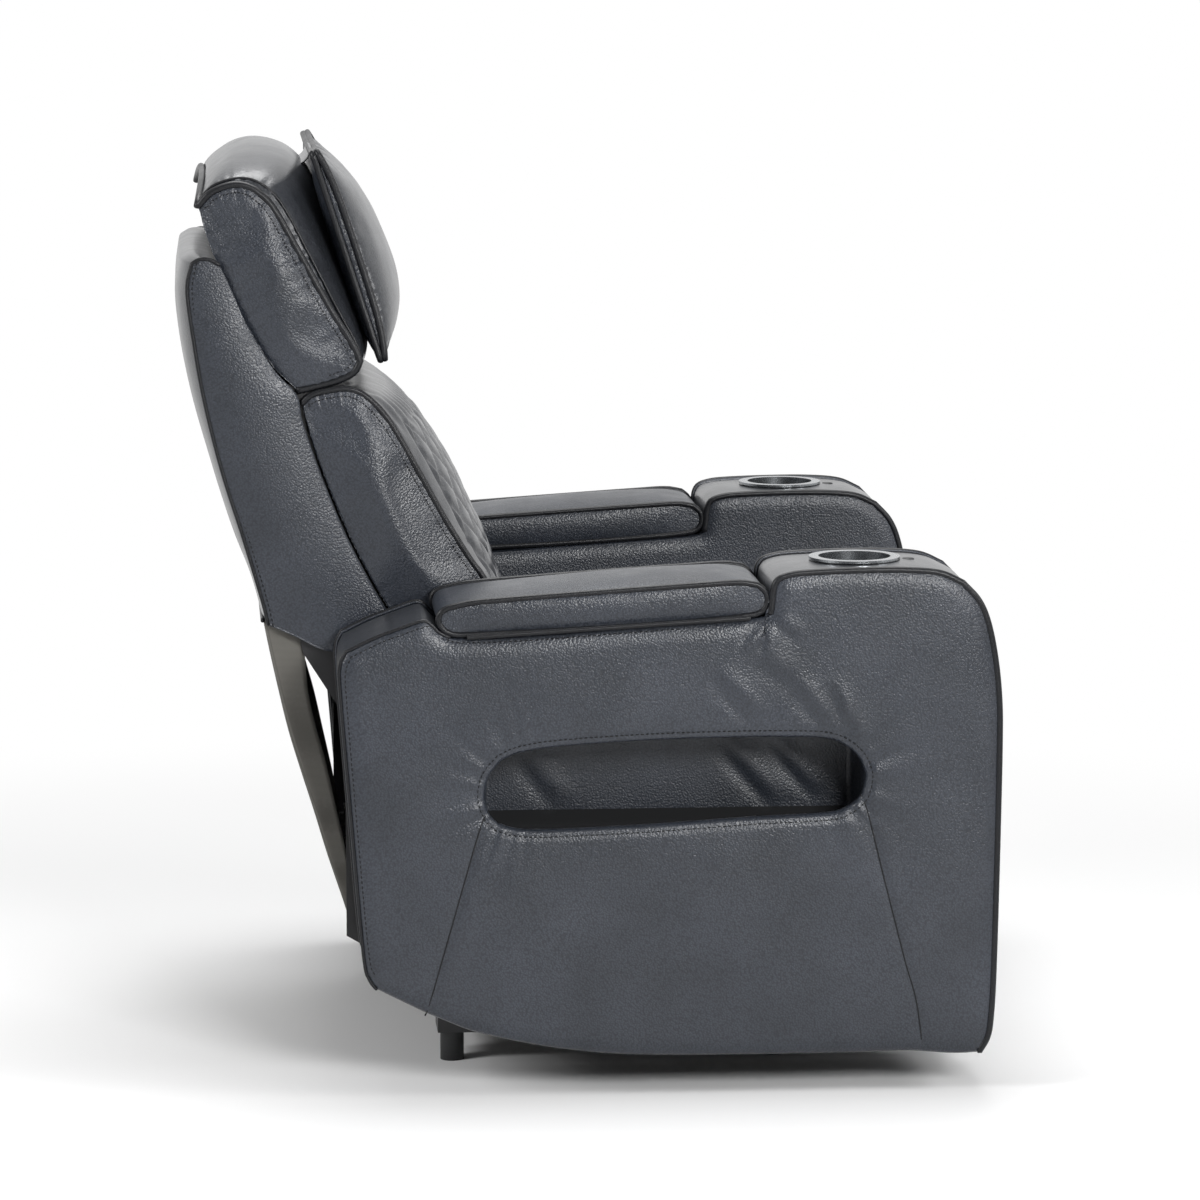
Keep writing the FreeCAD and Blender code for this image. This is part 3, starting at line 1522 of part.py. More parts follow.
doc.recompute()
for obj in doc.Objects:
    if "Invalid" in obj.State or "Error" in obj.State:
        raise RuntimeError(f"{obj.Name} did not build: {obj.State}")
os.makedirs("parts", exist_ok=True)
for name, obj in nodes.items():
    obj.Label = name
    shape = obj.Shape
    if shape.isNull() or not shape.isValid() or not shape.Solids:
        raise RuntimeError(f"{name} is not a valid solid")
    shape.exportStep(f"parts/{name}.step")
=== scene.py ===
"""Power rocking recliner in charcoal leather, dressed over its CAD frame."""

import json
import math

import bpy
import numpy as np
from mathutils import Matrix


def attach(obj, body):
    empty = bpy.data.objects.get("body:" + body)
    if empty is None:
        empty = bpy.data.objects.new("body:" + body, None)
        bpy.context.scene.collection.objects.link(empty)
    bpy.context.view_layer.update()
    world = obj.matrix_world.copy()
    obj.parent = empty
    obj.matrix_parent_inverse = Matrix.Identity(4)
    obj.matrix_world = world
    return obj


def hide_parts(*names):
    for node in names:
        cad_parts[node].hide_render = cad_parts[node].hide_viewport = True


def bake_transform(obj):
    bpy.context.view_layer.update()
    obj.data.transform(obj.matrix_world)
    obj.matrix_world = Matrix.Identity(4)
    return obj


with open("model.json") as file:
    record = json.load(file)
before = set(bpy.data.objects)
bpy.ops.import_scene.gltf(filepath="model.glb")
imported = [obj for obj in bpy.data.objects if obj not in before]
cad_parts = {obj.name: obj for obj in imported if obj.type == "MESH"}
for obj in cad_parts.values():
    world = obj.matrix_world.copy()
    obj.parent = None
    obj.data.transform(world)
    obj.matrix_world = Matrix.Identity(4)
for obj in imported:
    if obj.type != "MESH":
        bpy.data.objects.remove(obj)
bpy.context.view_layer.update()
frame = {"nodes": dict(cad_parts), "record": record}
scene = bpy.context.scene
MM = 0.001
CLOTH_FRAMES = 20
SEAM_REACH = 0.0008  # a point this near a seam line is held in the cloth run
LEATHER = 0.002  # thickness of the arm's leather
WAVE_STEP = 0.314  # a wave texture of scale 1 repeats after this length


# Curves and grids


def unit(ways):
    """Vectors scaled to length 1."""
    return ways / np.linalg.norm(ways, axis=-1, keepdims=True)


def joined(line):
    """A closed line with its first point again at its end."""
    return np.vstack([line, line[:1]])


def run_along(line):
    """The distance run along a polyline up to each of its points: the sum of the steps before it."""
    return np.r_[0, np.cumsum(np.linalg.norm(np.diff(line, axis=0), axis=1))]


def even(line, count):
    """Equal steps along a polyline: the distance run along it, turned round by interpolation."""
    run = run_along(line)
    at = np.linspace(0, run[-1], count)
    return np.stack([np.interp(at, run, line[:, k]) for k in range(line.shape[1])], 1)


def curve(points, count):
    """Catmull-Rom curve through points in mm: each span is a cubic whose end slopes come from the points
    beside it. Returns count equal steps along it, in metres."""
    p = np.array(points, float) * MM
    p = np.vstack([2 * p[0] - p[1], p, 2 * p[-1] - p[-2]])
    t = np.linspace(0, 1, 16, endpoint=False)[None, :, None]
    a, b, c, d = (p[i : len(p) - 3 + i, None, :] for i in range(4))
    fine = 0.5 * (2 * b + (c - a) * t + (2 * a - 5 * b + 4 * c - d) * t**2 + (3 * b - a - 3 * c + d) * t**3)
    return even(np.vstack([fine.reshape(-1, 2), p[-2:-1]]), count)


def quads(rows, cols, wrap=False):
    """Faces of a grid of points; wrap joins the last column to the first."""
    r, c = np.meshgrid(np.arange(rows - 1), np.arange(cols if wrap else cols - 1), indexing="ij")
    n = (c + 1) % cols
    return np.stack([r * cols + c, r * cols + n, (r + 1) * cols + n, (r + 1) * cols + c], -1).reshape(-1, 4)


def nearest(points, line, chunk=3000):
    """For each point its distance to the nearest point of a line, and that point's number."""
    far, which = [], []
    for k in range(0, len(points), chunk):
        gap = np.linalg.norm(points[k : k + chunk, None, :] - line[None, :, :], axis=2)
        which.append(gap.argmin(1))
        far.append(gap.min(1))
    return np.concatenate(far), np.concatenate(which)


def lifted(flat, y):
    """Points of the side view set at depths y."""
    return np.stack([flat[..., 0], np.broadcast_to(y, flat.shape[:-1]), flat[..., 1]], -1)


def inset(loop, by):
    """Outline moved inwards along its normals."""
    way = unit(np.roll(loop, -1, 0) - np.roll(loop, 1, 0))
    return loop + by * np.stack([-way[:, 1], way[:, 0]], 1)


def laid_on(points, line, way, lift=0.0004):
    """A line of the side view set on the nearest points of a surface, smoothed along its run and lifted
    along way."""
    y = points[nearest(line, points[:, [0, 2]])[1], 1]
    y = np.convolve(np.pad(y, 3, mode="edge"), np.ones(7) / 7, mode="valid")
    return lifted(line, y + way * lift)


def roll(gap, reach, drop):
    """Rolled edge: a quarter ellipse that falls by drop over the last stretch before the edge."""
    return drop * (1 - np.sqrt(1 - np.clip(1 - gap / reach, 0, 1) ** 2))


def groove(off, depth, width):
    """Sewn groove: a bell curve of the distance off its line."""
    return depth * np.exp(-((off / width) ** 2))


def ripple(s, wave, seed):
    """Uneven wave along s: four sines of lengths near wave, with set phases."""
    phase = np.random.default_rng(seed).uniform(0, 2 * np.pi, 4)
    parts = [(1.0, 1.0), (0.63, 0.6), (1.37, 0.5), (0.29, 0.5)]
    return sum(a * np.sin(2 * np.pi * s / wave * k + p) for (k, a), p in zip(parts, phase)) / 1.7


def fold(points, a, b, width, height):
    """Soft crease along the line a to b: a ridge beside a valley, fading to both ends."""
    a, b = np.asarray(a, float) * MM, np.asarray(b, float) * MM
    way = b - a
    long = np.linalg.norm(way)
    way = way / long
    rel = points - a
    t = (rel @ way) / long
    off = (rel[:, 0] * -way[1] + rel[:, 1] * way[0]) / (width * MM)
    fade = np.clip(1 - (2 * t - 1) ** 2, 0, 1)
    return height * MM * fade * (np.exp(-((off - 0.7) ** 2)) - 0.9 * np.exp(-((off + 0.35) ** 2) * 2))


# Pieces


def make(name, verts, faces, finish, body, stands_for=(), slot="upholstery", wall=0.0):
    """Puts arrays into a smooth-shaded mesh object that rides on a body."""
    mesh = bpy.data.meshes.new(name)
    mesh.from_pydata(np.asarray(verts).tolist(), [], np.asarray(faces).tolist())
    mesh.polygons.foreach_set("use_smooth", np.ones(len(mesh.polygons), bool))
    mesh.materials.append(finish)
    mesh.update()
    obj = bpy.data.objects.new(name, mesh)
    scene.collection.objects.link(obj)
    if wall:
        skin = obj.modifiers.new("thickness", "SOLIDIFY")
        skin.thickness = wall
        skin.offset = -1
    if body:
        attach(obj, body)
    if stands_for:
        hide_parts(*stands_for)
    return obj


def face_normals(verts, faces):
    """Each face's normal, twice as long as its area: the cross product of its diagonals."""
    return np.cross(verts[faces[:, 2]] - verts[faces[:, 0]], verts[faces[:, 3]] - verts[faces[:, 1]])


def facing(verts, faces, way):
    """The faces turned so that they look along way on the whole."""
    return faces if (face_normals(verts, faces) @ np.asarray(way, float)).sum() > 0 else faces[:, ::-1]


def surface(grid, way, wrap=False):
    """Points and faces of a grid, with the faces looking along way."""
    verts = grid.reshape(-1, 3)
    return verts, facing(verts, quads(*grid.shape[:2], wrap), way)


def outward(verts, faces):
    """The faces of a closed form turned outwards, by the sign of its volume."""
    a, b, c, d = (verts[faces[:, k]] for k in range(4))
    volume = (np.cross(a, b) * c).sum() + (np.cross(a, c) * d).sum()
    return faces if volume > 0 else faces[:, ::-1]


def pair(name, verts, faces, finish, body, stands_for=(), **more):
    """A right-hand piece and its mirror image on the left; a body or node named with {} takes the side."""
    out = []
    for side, sign in (("right", 1), ("left", -1)):
        v = verts * np.array([1, sign, 1])
        f = faces if sign > 0 else faces[:, ::-1]
        nodes = [n.format(side) for n in stands_for]
        out.append(make(f"{name}_{side}", v, f, finish, body.format(side), nodes, **more))
    return out


def tube(path, radius, closed=False, up=(0, 1, 0), sides=10):
    """A round bead along a path: a circle set square to it, with rounded ends where the path is open."""
    path = np.asarray(path, float)
    along = np.gradient(path, axis=0)
    if closed:
        along = np.roll(path, -1, 0) - np.roll(path, 1, 0)
    along = unit(along)
    up = np.asarray(up, float)
    first = unit(up - (along @ up)[:, None] * along)
    second = np.cross(along, first)
    size = np.full(len(path), radius)
    if not closed:
        path = np.vstack([path[0] - along[0] * radius * 0.6, path, path[-1] + along[-1] * radius * 0.6])
        first, second = (np.vstack([a[:1], a, a[-1:]]) for a in (first, second))
        size = np.r_[radius * 0.05, size, radius * 0.05]
    turn = np.linspace(0, 2 * np.pi, sides, endpoint=False)
    ring = np.cos(turn)[None, :, None] * first[:, None] + np.sin(turn)[None, :, None] * second[:, None]
    verts = (path[:, None] + ring * size[:, None, None]).reshape(-1, 3)
    faces = quads(len(path), sides, True)
    if closed:
        last = np.arange(sides) + (len(path) - 1) * sides
        n = np.roll(np.arange(sides), -1)
        join = np.stack([last, (len(path) - 1) * sides + n, n, np.arange(sides)], 1)
        faces = np.vstack([faces, join])
    return verts, outward(verts, faces)


def stitches(path, out, step=6.0, long=4.2, thick=0.8):
    """A row of thread stitches along a path: each is a short spindle, half sunk in the leather. Step,
    length and thickness are in mm."""
    spot = even(path, max(int(run_along(path)[-1] / (step * MM)), 3))
    along = unit(np.gradient(spot, axis=0))
    side = unit(np.cross(along, np.asarray(out, float)))
    up = np.cross(side, along)
    rings = sides = 5
    t = np.linspace(-1, 1, rings)
    turn = np.linspace(0, 2 * np.pi, sides, endpoint=False)
    fat = np.sqrt(np.clip(1 - t**2, 0.04, 1)) * thick * MM
    a = np.repeat(t * long * MM / 2, sides)
    b = np.outer(fat, np.cos(turn)).ravel()
    c = np.outer(fat, np.sin(turn)).ravel()
    spindle = sum(k[None, :, None] * axis[:, None] for k, axis in ((a, along), (b, side), (c, up)))
    faces = quads(rings, sides, True)[None] + np.arange(len(spot))[:, None, None] * rings * sides
    return (spot[:, None] + spindle).reshape(-1, 3), faces.reshape(-1, 4)


def merged(*parts):
    """Several vertex and face arrays as one pair."""
    verts, faces, start = [], [], 0
    for v, f in parts:
        verts.append(v)
        faces.append(f + start)
        start += len(v)
    return np.vstack(verts), np.vstack(faces)


def loop_of(bottom, front, top, rear, count_a, count_b):
    """Closed outline from four chains: bottom and top run rear to front, front and rear run upwards."""
    a = curve(bottom, count_a + 1)
    b = curve(front, count_b + 1)
    c = curve(top, count_a + 1)[::-1]
    d = curve(rear, count_b + 1)[::-1]
    return np.vstack([a[:-1], b[:-1], c[:-1], d[:-1]])


def coons(loop, count_a, count_b):
    """Patch inside a four-chain outline: the sum of both ruled surfaces between opposite chains, less the
    corners."""
    ring = joined(loop)
    bottom = ring[: count_a + 1]
    front = ring[count_a : count_a + count_b + 1]
    top = ring[count_a + count_b : 2 * count_a + count_b + 1][::-1]
    rear = ring[2 * count_a + count_b :][::-1]
    u = np.linspace(0, 1, count_a + 1)[:, None, None]
    w = np.linspace(0, 1, count_b + 1)[None, :, None]
    ruled = (1 - w) * bottom[:, None] + w * top[:, None] + (1 - u) * rear[None] + u * front[None]
    low = (1 - u) * bottom[0] + u * bottom[-1]
    high = (1 - u) * top[0] + u * top[-1]
    return ruled - (1 - w) * low - w * high


def crowned(side, middle, t, crown, fat):
    """Outlines between side and middle at places t across: the middle's share is (1 - |t|^crown)^fat."""
    return side + (middle - side) * ((1 - np.abs(t) ** crown) ** fat)[:, None, None]


def places_across(rows):
    """Places across a cushion from -1 to 1, closer together towards both sides: part straight, part
    sine."""
    s = np.linspace(-1, 1, rows + 1)
    return 0.55 * s + 0.45 * np.sin(np.pi * s / 2)


def six_sided(side, middle, counts, half, rows, crown=2.4, puff=0.008, centre=0.0, shape=None, fat=1.0):
    """Closed cushion: outlines swept across from one side to the other, fuller in the middle, and two
    puffed end panels. Returns points, faces, the two seam loops, and for each point its place along the
    outline and across."""
    count_a, count_b = counts
    t = places_across(rows)
    band = lifted(crowned(side, middle, t, crown, fat), (centre + t * half)[:, None])
    if shape is not None:
        band = shape(band, t)
    total = len(side)
    inside = (count_a - 1) * (count_b - 1)
    verts = [band.reshape(-1, 3)]
    along = [np.tile(run_along(middle), rows + 1)]
    across = [np.repeat(t * half, total)]
    faces = [quads(rows + 1, total, True)]
    start = (rows + 1) * total
    a = np.arange(count_a + 1)
    b = np.arange(count_b + 1)
    for row, sign in ((0, -1), (rows, 1)):
        patch = coons(band[row][:, [0, 2]], count_a, count_b)
        u = np.linspace(0, 1, count_a + 1)[:, None]
        w = np.linspace(0, 1, count_b + 1)[None]
        dome = (np.sin(np.pi * u) * np.sin(np.pi * w)) ** 0.75
        grid = lifted(patch, centre + sign * (half + puff * dome))
        number = np.empty((count_a + 1, count_b + 1), int)
        number[1:-1, 1:-1] = start + np.arange(inside).reshape(count_a - 1, count_b - 1)
        base = row * total
        number[:, 0] = base + a
        number[-1, :] = base + count_a + b
        number[::-1, -1] = base + count_a + count_b + a
        number[0, ::-1] = base + (2 * count_a + count_b + b) % total
        verts.append(grid[1:-1, 1:-1].reshape(-1, 3))
        along.append(np.full(inside, -1.0))
        across.append(np.full(inside, sign * half))
        f = np.stack([number[:-1, :-1], number[1:, :-1], number[1:, 1:], number[:-1, 1:]], -1).reshape(-1, 4)
        faces.append(f if sign < 0 else f[:, ::-1])
        start += inside
    verts = np.vstack(verts)
    faces = outward(verts, np.vstack(faces))
    return verts, faces, (band[0], band[-1]), np.concatenate(along), np.concatenate(across)


def coords(mesh):
    """A mesh's points as an array."""
    out = np.empty(len(mesh.vertices) * 3)
    mesh.vertices.foreach_get("co", out)
    return out.reshape(-1, 3)


def swell(obj, seams, pressure, grow, cap):
    """Cloth run: seam points stay put while the panels between them fill out; no point moves further than
    cap."""
    rest = coords(obj.data)
    held = obj.vertex_groups.new(name="seam")
    held.add(seams.tolist(), 1.0, "REPLACE")
    cloth = obj.modifiers.new("fill", "CLOTH")
    how = cloth.settings
    how.quality = 5
    how.mass = 0.4
    how.tension_stiffness = how.compression_stiffness = 25
    how.shear_stiffness = 12
    how.bending_stiffness = 12
    how.use_pressure = True
    how.uniform_pressure_force = pressure
    how.effector_weights.gravity = 0
    how.vertex_group_mass = "seam"
    how.shrink_min = -grow
    cloth.collision_settings.use_collision = False
    for k in range(1, CLOTH_FRAMES + 1):
        scene.frame_set(k)
    seen = obj.evaluated_get(bpy.context.evaluated_depsgraph_get())
    move = coords(seen.data) - rest
    obj.modifiers.remove(cloth)
    obj.vertex_groups.clear()
    scene.frame_set(1)
    far = np.linalg.norm(move, axis=1, keepdims=True)
    move *= cap * np.tanh(far / cap) / np.maximum(far, 1e-9)
    obj.data.vertices.foreach_set("co", (rest + move).ravel())
    obj.data.update()


def cushion(name, form, body, stands_for, detail, pressure, grow, cap, crown=0):
    """A padded piece: its form filled by a cloth run with the seams held, subdivided once, then its sewn
    detail. Its first faces, as many as crown, are smooth crown leather, and the others pebbled side
    leather."""
    verts, faces, seams, along, across = form
    obj = make(name, verts, faces, crown_hide, None)
    obj.data.materials.append(hide)
    obj.data.polygons.foreach_set("material_index", (np.arange(len(faces)) >= crown).astype(np.int32))
    gap, _ = nearest(verts, np.vstack(seams))
    swell(obj, np.flatnonzero(gap < SEAM_REACH), pressure, grow, cap)
    for label, values in (("along", along), ("across", across)):
        mark = obj.data.attributes.new(label, "FLOAT", "POINT")
        mark.data.foreach_set("value", values)
    fine = obj.modifiers.new("fine", "SUBSURF")
    fine.levels = fine.render_levels = 1
    seen = obj.evaluated_get(bpy.context.evaluated_depsgraph_get())
    mesh = bpy.data.meshes.new_from_object(seen)
    obj.modifiers.remove(fine)
    obj.data = mesh
    points = coords(mesh)
    normals = np.empty(len(points) * 3)
    mesh.vertices.foreach_get("normal", normals)
    marks = np.empty((2, len(points)))
    for label, values in zip(("along", "across"), marks):
        mesh.attributes[label].data.foreach_get("value", values)
    points = points + normals.reshape(-1, 3) * detail(points, *marks)[:, None]
    mesh.vertices.foreach_set("co", points.ravel())
    mesh.update()
    mesh.polygons.foreach_set("use_smooth", np.ones(len(mesh.polygons), bool))
    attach(obj, body)
    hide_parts(*stands_for)
    return obj


def cap_stitches(obj, loop, level, by, first, last):
    """Stitch rows on both end panels of a cushion, set in from its seam by a fixed step."""
    points = coords(obj.data)
    line = inset(loop, by)
    if np.abs(line - loop.mean(0)).sum() > np.abs(loop - loop.mean(0)).sum():
        line = inset(loop, -by)
    line = line[first : last + 1]
    rows = []
    for way in (-1, 1):
        end = points[points[:, 1] * way > level]
        rows.append(stitches(laid_on(end, line, way, 0.0006), (0, way, 0), step=4.6, long=3.2, thick=0.75))
    return rows


def gathers(points, seams, height, wave, reach, seed, sunk):
    """Gathers beside seams, in mm: an uneven wave along each seam that dies away from it, over a sunken
    edge."""
    out = 0
    for k, seam in enumerate(seams):
        loop = joined(seam)
        gap, which = nearest(points, loop)
        swing = np.exp(-gap / (reach * MM)) * (1 - np.exp(-gap / 0.004))
        wave_at = ripple(run_along(loop)[which], wave * MM, seed + k)
        out = out + height * MM * swing * wave_at - sunk * MM * np.exp(-gap / 0.006)
    return out


def piping(name, lines, radius, body, **more):
    """Welt cord along seam lines: beads of one radius as one piece."""
    make(name, *merged(*[tube(line, radius, **more) for line in lines]), welt, body)


# Materials


def linear(code):
    """sRGB hex colour as linear RGBA."""
    rgb = np.array([int(code[k : k + 2], 16) for k in (1, 3, 5)]) / 255
    rgb = np.where(rgb <= 0.04045, rgb / 12.92, ((rgb + 0.055) / 1.055) ** 2.4)
    return (*rgb.tolist(), 1.0)


def node(tree, kind, sockets=None, stops=(), into=None, **settings):
    """Adds a node, sets its properties, sets or links each named socket, gives a colour ramp its stops, and
    links its first output into a socket."""
    n = tree.nodes.new(kind)
    for key, value in settings.items():
        setattr(n, key, value)
    for key, value in (sockets or {}).items():
        if isinstance(value, bpy.types.NodeSocket):
            tree.links.new(value, n.inputs[key])
        else:
            n.inputs[key].default_value = value
    for k, (at, colour) in enumerate(stops):
        n.color_ramp.elements[k].position = at
        n.color_ramp.elements[k].color = linear(colour)
    if into is not None:
        tree.links.new(n.outputs[0], into)
    return n


def maths(tree, operation, first, second):
    """The value of a maths node on two numbers or sockets."""
    return node(tree, "ShaderNodeMath", {0: first, 1: second}, operation=operation).outputs["Value"]


def blank(name, constants):
    """A new material, its node tree, its shader's sockets with the constants set, and the object's own
    coordinates."""
    mat = bpy.data.materials.new(name)
    mat.use_nodes = True
    tree = mat.node_tree
    surface_in = tree.nodes["Principled BSDF"].inputs
    for key, value in constants.items():
        surface_in[key].default_value = value
    return mat, tree, surface_in, node(tree, "ShaderNodeTexCoord").outputs["Object"]


def pebbled_leather(name, light, dark, rough, pebble, depth, coat, shine):
    """Top-grain cowhide, pigmented and plated with a pebble grain: domed cells whose creases are darkened
    in colour as painted shade, a soft gloss that varies between two roughnesses, and a slow drift of tone
    over the hide. The cells are as wide as pebble, in mm: real ones are near 1.5 mm, and they are drawn at 2
    to 2.4 mm so that they show."""
    finish = {"IOR": 1.48, "Specular IOR Level": shine, "Coat Weight": coat, "Coat Roughness": 0.26}
    mat, tree, surface_in, place = blank(name, finish)
    # a fine noise pushes the cells about by up to 1.6 mm, so that no two are alike
    warp = node(tree, "ShaderNodeTexNoise", {"Vector": place, "Scale": 260.0, "Detail": 1.0})
    off = node(tree, "ShaderNodeVectorMath", {0: warp.outputs["Color"], "Scale": 0.0016}, operation="SCALE")
    moved = node(tree, "ShaderNodeVectorMath", {0: place, 1: off.outputs["Vector"]}, operation="ADD")
    sizes = {"Vector": moved.outputs["Vector"], "Scale": 1 / (pebble * MM), "Smoothness": 0.5}
    cells = node(tree, "ShaderNodeTexVoronoi", sizes, feature="SMOOTH_F1").outputs["Distance"]
    # tone drifts over patches about 110 mm wide, and gloss over patches about 33 mm wide
    drift = {"Vector": place, "Scale": 9.0, "Detail": 3.0, "Roughness": 0.55}
    drift = node(tree, "ShaderNodeTexNoise", drift)
    tone = node(tree, "ShaderNodeValToRGB", {"Fac": drift.outputs["Fac"]}, [(0.3, dark), (0.7, light)])
    # the creases between the cells are darkened in colour: painted shade in the grain's hollows
    painted_crease_shade = node(tree, "ShaderNodeValToRGB", {"Fac": cells}, [(0.25, "#ffffff"), (0.75, "#a8aab0")])
    # On a colour mix, inputs 0, 6 and 7 are the factor and the two colours, and output 2 is the mixed colour.
    colours = {0: 0.75, 6: tone.outputs["Color"], 7: painted_crease_shade.outputs["Color"]}
    mix = node(tree, "ShaderNodeMix", colours, data_type="RGBA", blend_type="MULTIPLY")
    tree.links.new(mix.outputs[2], surface_in["Base Color"])
    gloss = node(tree, "ShaderNodeTexNoise", {"Vector": place, "Scale": 30.0, "Detail": 2.0})
    low, high = rough
    spread = {"Value": gloss.outputs["Fac"], "From Min": 0.3, "From Max": 0.7, "To Min": low, "To Max": high}
    node(tree, "ShaderNodeMapRange", spread, into=surface_in["Roughness"])
    node(tree, "ShaderNodeBump", {"Height": cells, "Distance": -depth}, into=surface_in["Normal"])
    return mat


def woven(name, light, dark, thread):
    """Plain woven or bonded cloth: two crossed sets of threads, as wide as thread in mm, matt, with a
    thread's shadow between them. Real threads are 0.3 to 0.6 mm wide; cloth is drawn coarser so that its
    weave shows."""
    mat, tree, surface_in, place = blank(name, {"Roughness": 0.92})
    sizes = {"Vector": place, "Scale": WAVE_STEP / (thread * MM), "Distortion": 0.6}
    warp, weft = (node(tree, "ShaderNodeTexWave", sizes, bands_direction=way).outputs["Fac"] for way in "YZ")
    both = maths(tree, "MULTIPLY", warp, weft)
    node(tree, "ShaderNodeValToRGB", {"Fac": both}, [(0.0, dark), (0.6, light)], surface_in["Base Color"])
    node(tree, "ShaderNodeBump", {"Height": both, "Distance": 0.0003}, into=surface_in["Normal"])
    return mat


def speckled(name, colour, other, rough, grit, depth, metallic=0.0):
    """Moulded or coated surface: a fine even grit, as wide as grit in mm, breaks up colour and gloss. Real
    grit is finer, near 0.3 mm; it is drawn coarser so that it doesn't flicker."""
    mat, tree, surface_in, place = blank(name, {"Metallic": metallic})
    sizes = {"Vector": place, "Scale": 1 / (grit * MM), "Detail": 2.0}
    grain = node(tree, "ShaderNodeTexNoise", sizes).outputs["Fac"]
    stops = [(0.35, colour), (0.65, other)]
    node(tree, "ShaderNodeValToRGB", {"Fac": grain}, stops, surface_in["Base Color"])
    spread = {"Value": grain, "To Min": rough * 0.85, "To Max": rough * 1.15}
    node(tree, "ShaderNodeMapRange", spread, into=surface_in["Roughness"])
    node(tree, "ShaderNodeBump", {"Height": grain, "Distance": depth}, into=surface_in["Normal"])
    return mat


def plywood(name):
    """Poplar plywood, sanded and unsealed: noise drawn out along the board into pale and darker grain."""
    mat, tree, surface_in, place = blank(name, {"Roughness": 0.7})
    drawn = node(tree, "ShaderNodeMapping", {"Vector": place, "Scale": (3.0, 40.0, 40.0)}).outputs["Vector"]
    sizes = {"Vector": drawn, "Scale": 6.0, "Detail": 5.0, "Roughness": 0.6}
    grain = node(tree, "ShaderNodeTexNoise", sizes).outputs["Fac"]
    stops = [(0.3, "#9a7148"), (0.7, "#cfa878")]
    node(tree, "ShaderNodeValToRGB", {"Fac": grain}, stops, surface_in["Base Color"])
    node(tree, "ShaderNodeBump", {"Height": grain, "Distance": 0.0002}, into=surface_in["Normal"])
    return mat


# Arm sides, cushion sides and lids: bluish charcoal with a pebble that catches small lights.
hide = pebbled_leather(
    "charcoal_pebbled_leather", "#33373f", "#272b32",
    rough=(0.33, 0.42), pebble=2.4, depth=0.00042, coat=0.0, shine=0.5,
)
# Crowns and bands: the same hide drawn tight, neutral in tone, smoother, with a clear topcoat's broad sheen.
crown_hide = pebbled_leather(
    "charcoal_smooth_leather", "#36383c", "#2d2f33",
    rough=(0.3, 0.36), pebble=2.4, depth=0.0002, coat=0.4, shine=0.4,
)
# Piping: nearly black, so that every seam reads as a dark line.
welt = pebbled_leather(
    "dark_welt_leather", "#1b1c1f", "#151619",
    rough=(0.34, 0.42), pebble=2.0, depth=0.0001, coat=0.0, shine=0.3,
)
# Stitching: matt black dots beside the seams.
sewing_thread = woven("bonded_polyester_thread", "#1a1b1e", "#0e0f11", thread=0.6)
# Cloth under the back: warm grey, lighter than the leather and without gloss.
flap_cloth = woven("grey_backing_cloth", "#696762", "#504e4a", thread=1.4)
# The footrest's board: a dark matt cloth. The same black cloth on the pocket's lower wall and floor is
# painted shade.
lining_and_pouch_shade = woven("black_lining_cloth_and_painted_shade", "#1b1c1e", "#101113", thread=1.2)
# Straps under the seat: coarse black bands.
webbing = woven("black_seat_webbing", "#26272a", "#121315", thread=2.2)
# Frame, links and rails: black with a low even sheen.
coated = speckled("black_powder_coated_steel", "#141416", "#1c1c1f", rough=0.42, grit=1.0, depth=0.00004)
# Bolts, pins, rocker springs and push rod: pale grey metal.
zinc = speckled(
    "zinc_plated_steel", "#9fa3a6", "#b9bcbe", rough=0.32, grit=1.4, depth=0.00003, metallic=1.0
)
# Cup holders: a bright ring that shows the backdrop, slightly blurred.
steel = speckled(
    "brushed_stainless_steel", "#95989b", "#abaeb1", rough=0.27, grit=0.8, depth=0.00001, metallic=1.0
)
# Feet, cams, bins, switches and buttons: black with a dull sheen.
moulded = speckled("black_moulded_nylon", "#161718", "#202123", rough=0.5, grit=0.7, depth=0.00006)
# Motors and their carriages: mid grey, dull.
housing = speckled("grey_moulded_housing", "#5b5e61", "#686b6e", rough=0.48, grit=0.9, depth=0.00005)
# Deck and boards: pale raw wood.
ply = plywood("sanded_poplar_plywood")

SLOT_FINISH = {
    "black_steel": coated,
    "zinc_steel": zinc,
    "stainless": steel,
    "black_plastic": moulded,
    "grey_plastic": housing,
    "plywood": ply,
    "webbing": webbing,
    "liner_cloth": lining_and_pouch_shade,
    "flap_cloth": flap_cloth,
    "upholstery": hide,
}
# The footrest's board is covered in lining cloth, and the lids' hinges in dark leather.
NODE_FINISH = {"lid_hinges": welt, "footrest_board": lining_and_pouch_shade}
for part in frame["record"]["subparts"]:
    shown = frame["nodes"][part["node"]]
    shown.data.materials.clear()
    shown.data.materials.append(NODE_FINISH.get(part["node"], SLOT_FINISH[part["material_slot"]]))


# Arms, drawn for the right-hand one and mirrored

ARM_COUNTS = (190, 130)
arm_bottom = [
    (-256, 137), (-205, 111), (-172, 96), (-139, 83), (-81, 69), (-23, 59), (54, 52), (187, 50),
    (294, 50), (377, 51), (430, 47), (464, 48),
]
arm_front = [
    (464, 48), (474, 66), (478, 92), (481, 161), (484, 330), (485, 426), (484, 474), (479, 522),
    (470, 566), (458, 594), (438, 616),
]
arm_top = [
    (-290, 540), (-283, 543), (-256, 556), (-226, 567), (-202, 575), (-192, 573), (-181, 562),
    (-168, 555.5), (-150, 554.5), (-110, 555), (-51, 558), (8, 562), (67, 566), (125, 570),
    (173, 573), (198, 575.5), (207, 580), (209, 594), (211, 612), (217, 622), (229, 627),
    (250, 630), (307, 632), (367, 632), (410, 628), (438, 616),
]
arm_rear = [(-256, 137), (-264, 148), (-271, 176), (-283, 320), (-296, 484), (-297, 522), (-290, 540)]
arm_loop = loop_of(arm_bottom, arm_front, arm_top, arm_rear, *ARM_COUNTS)
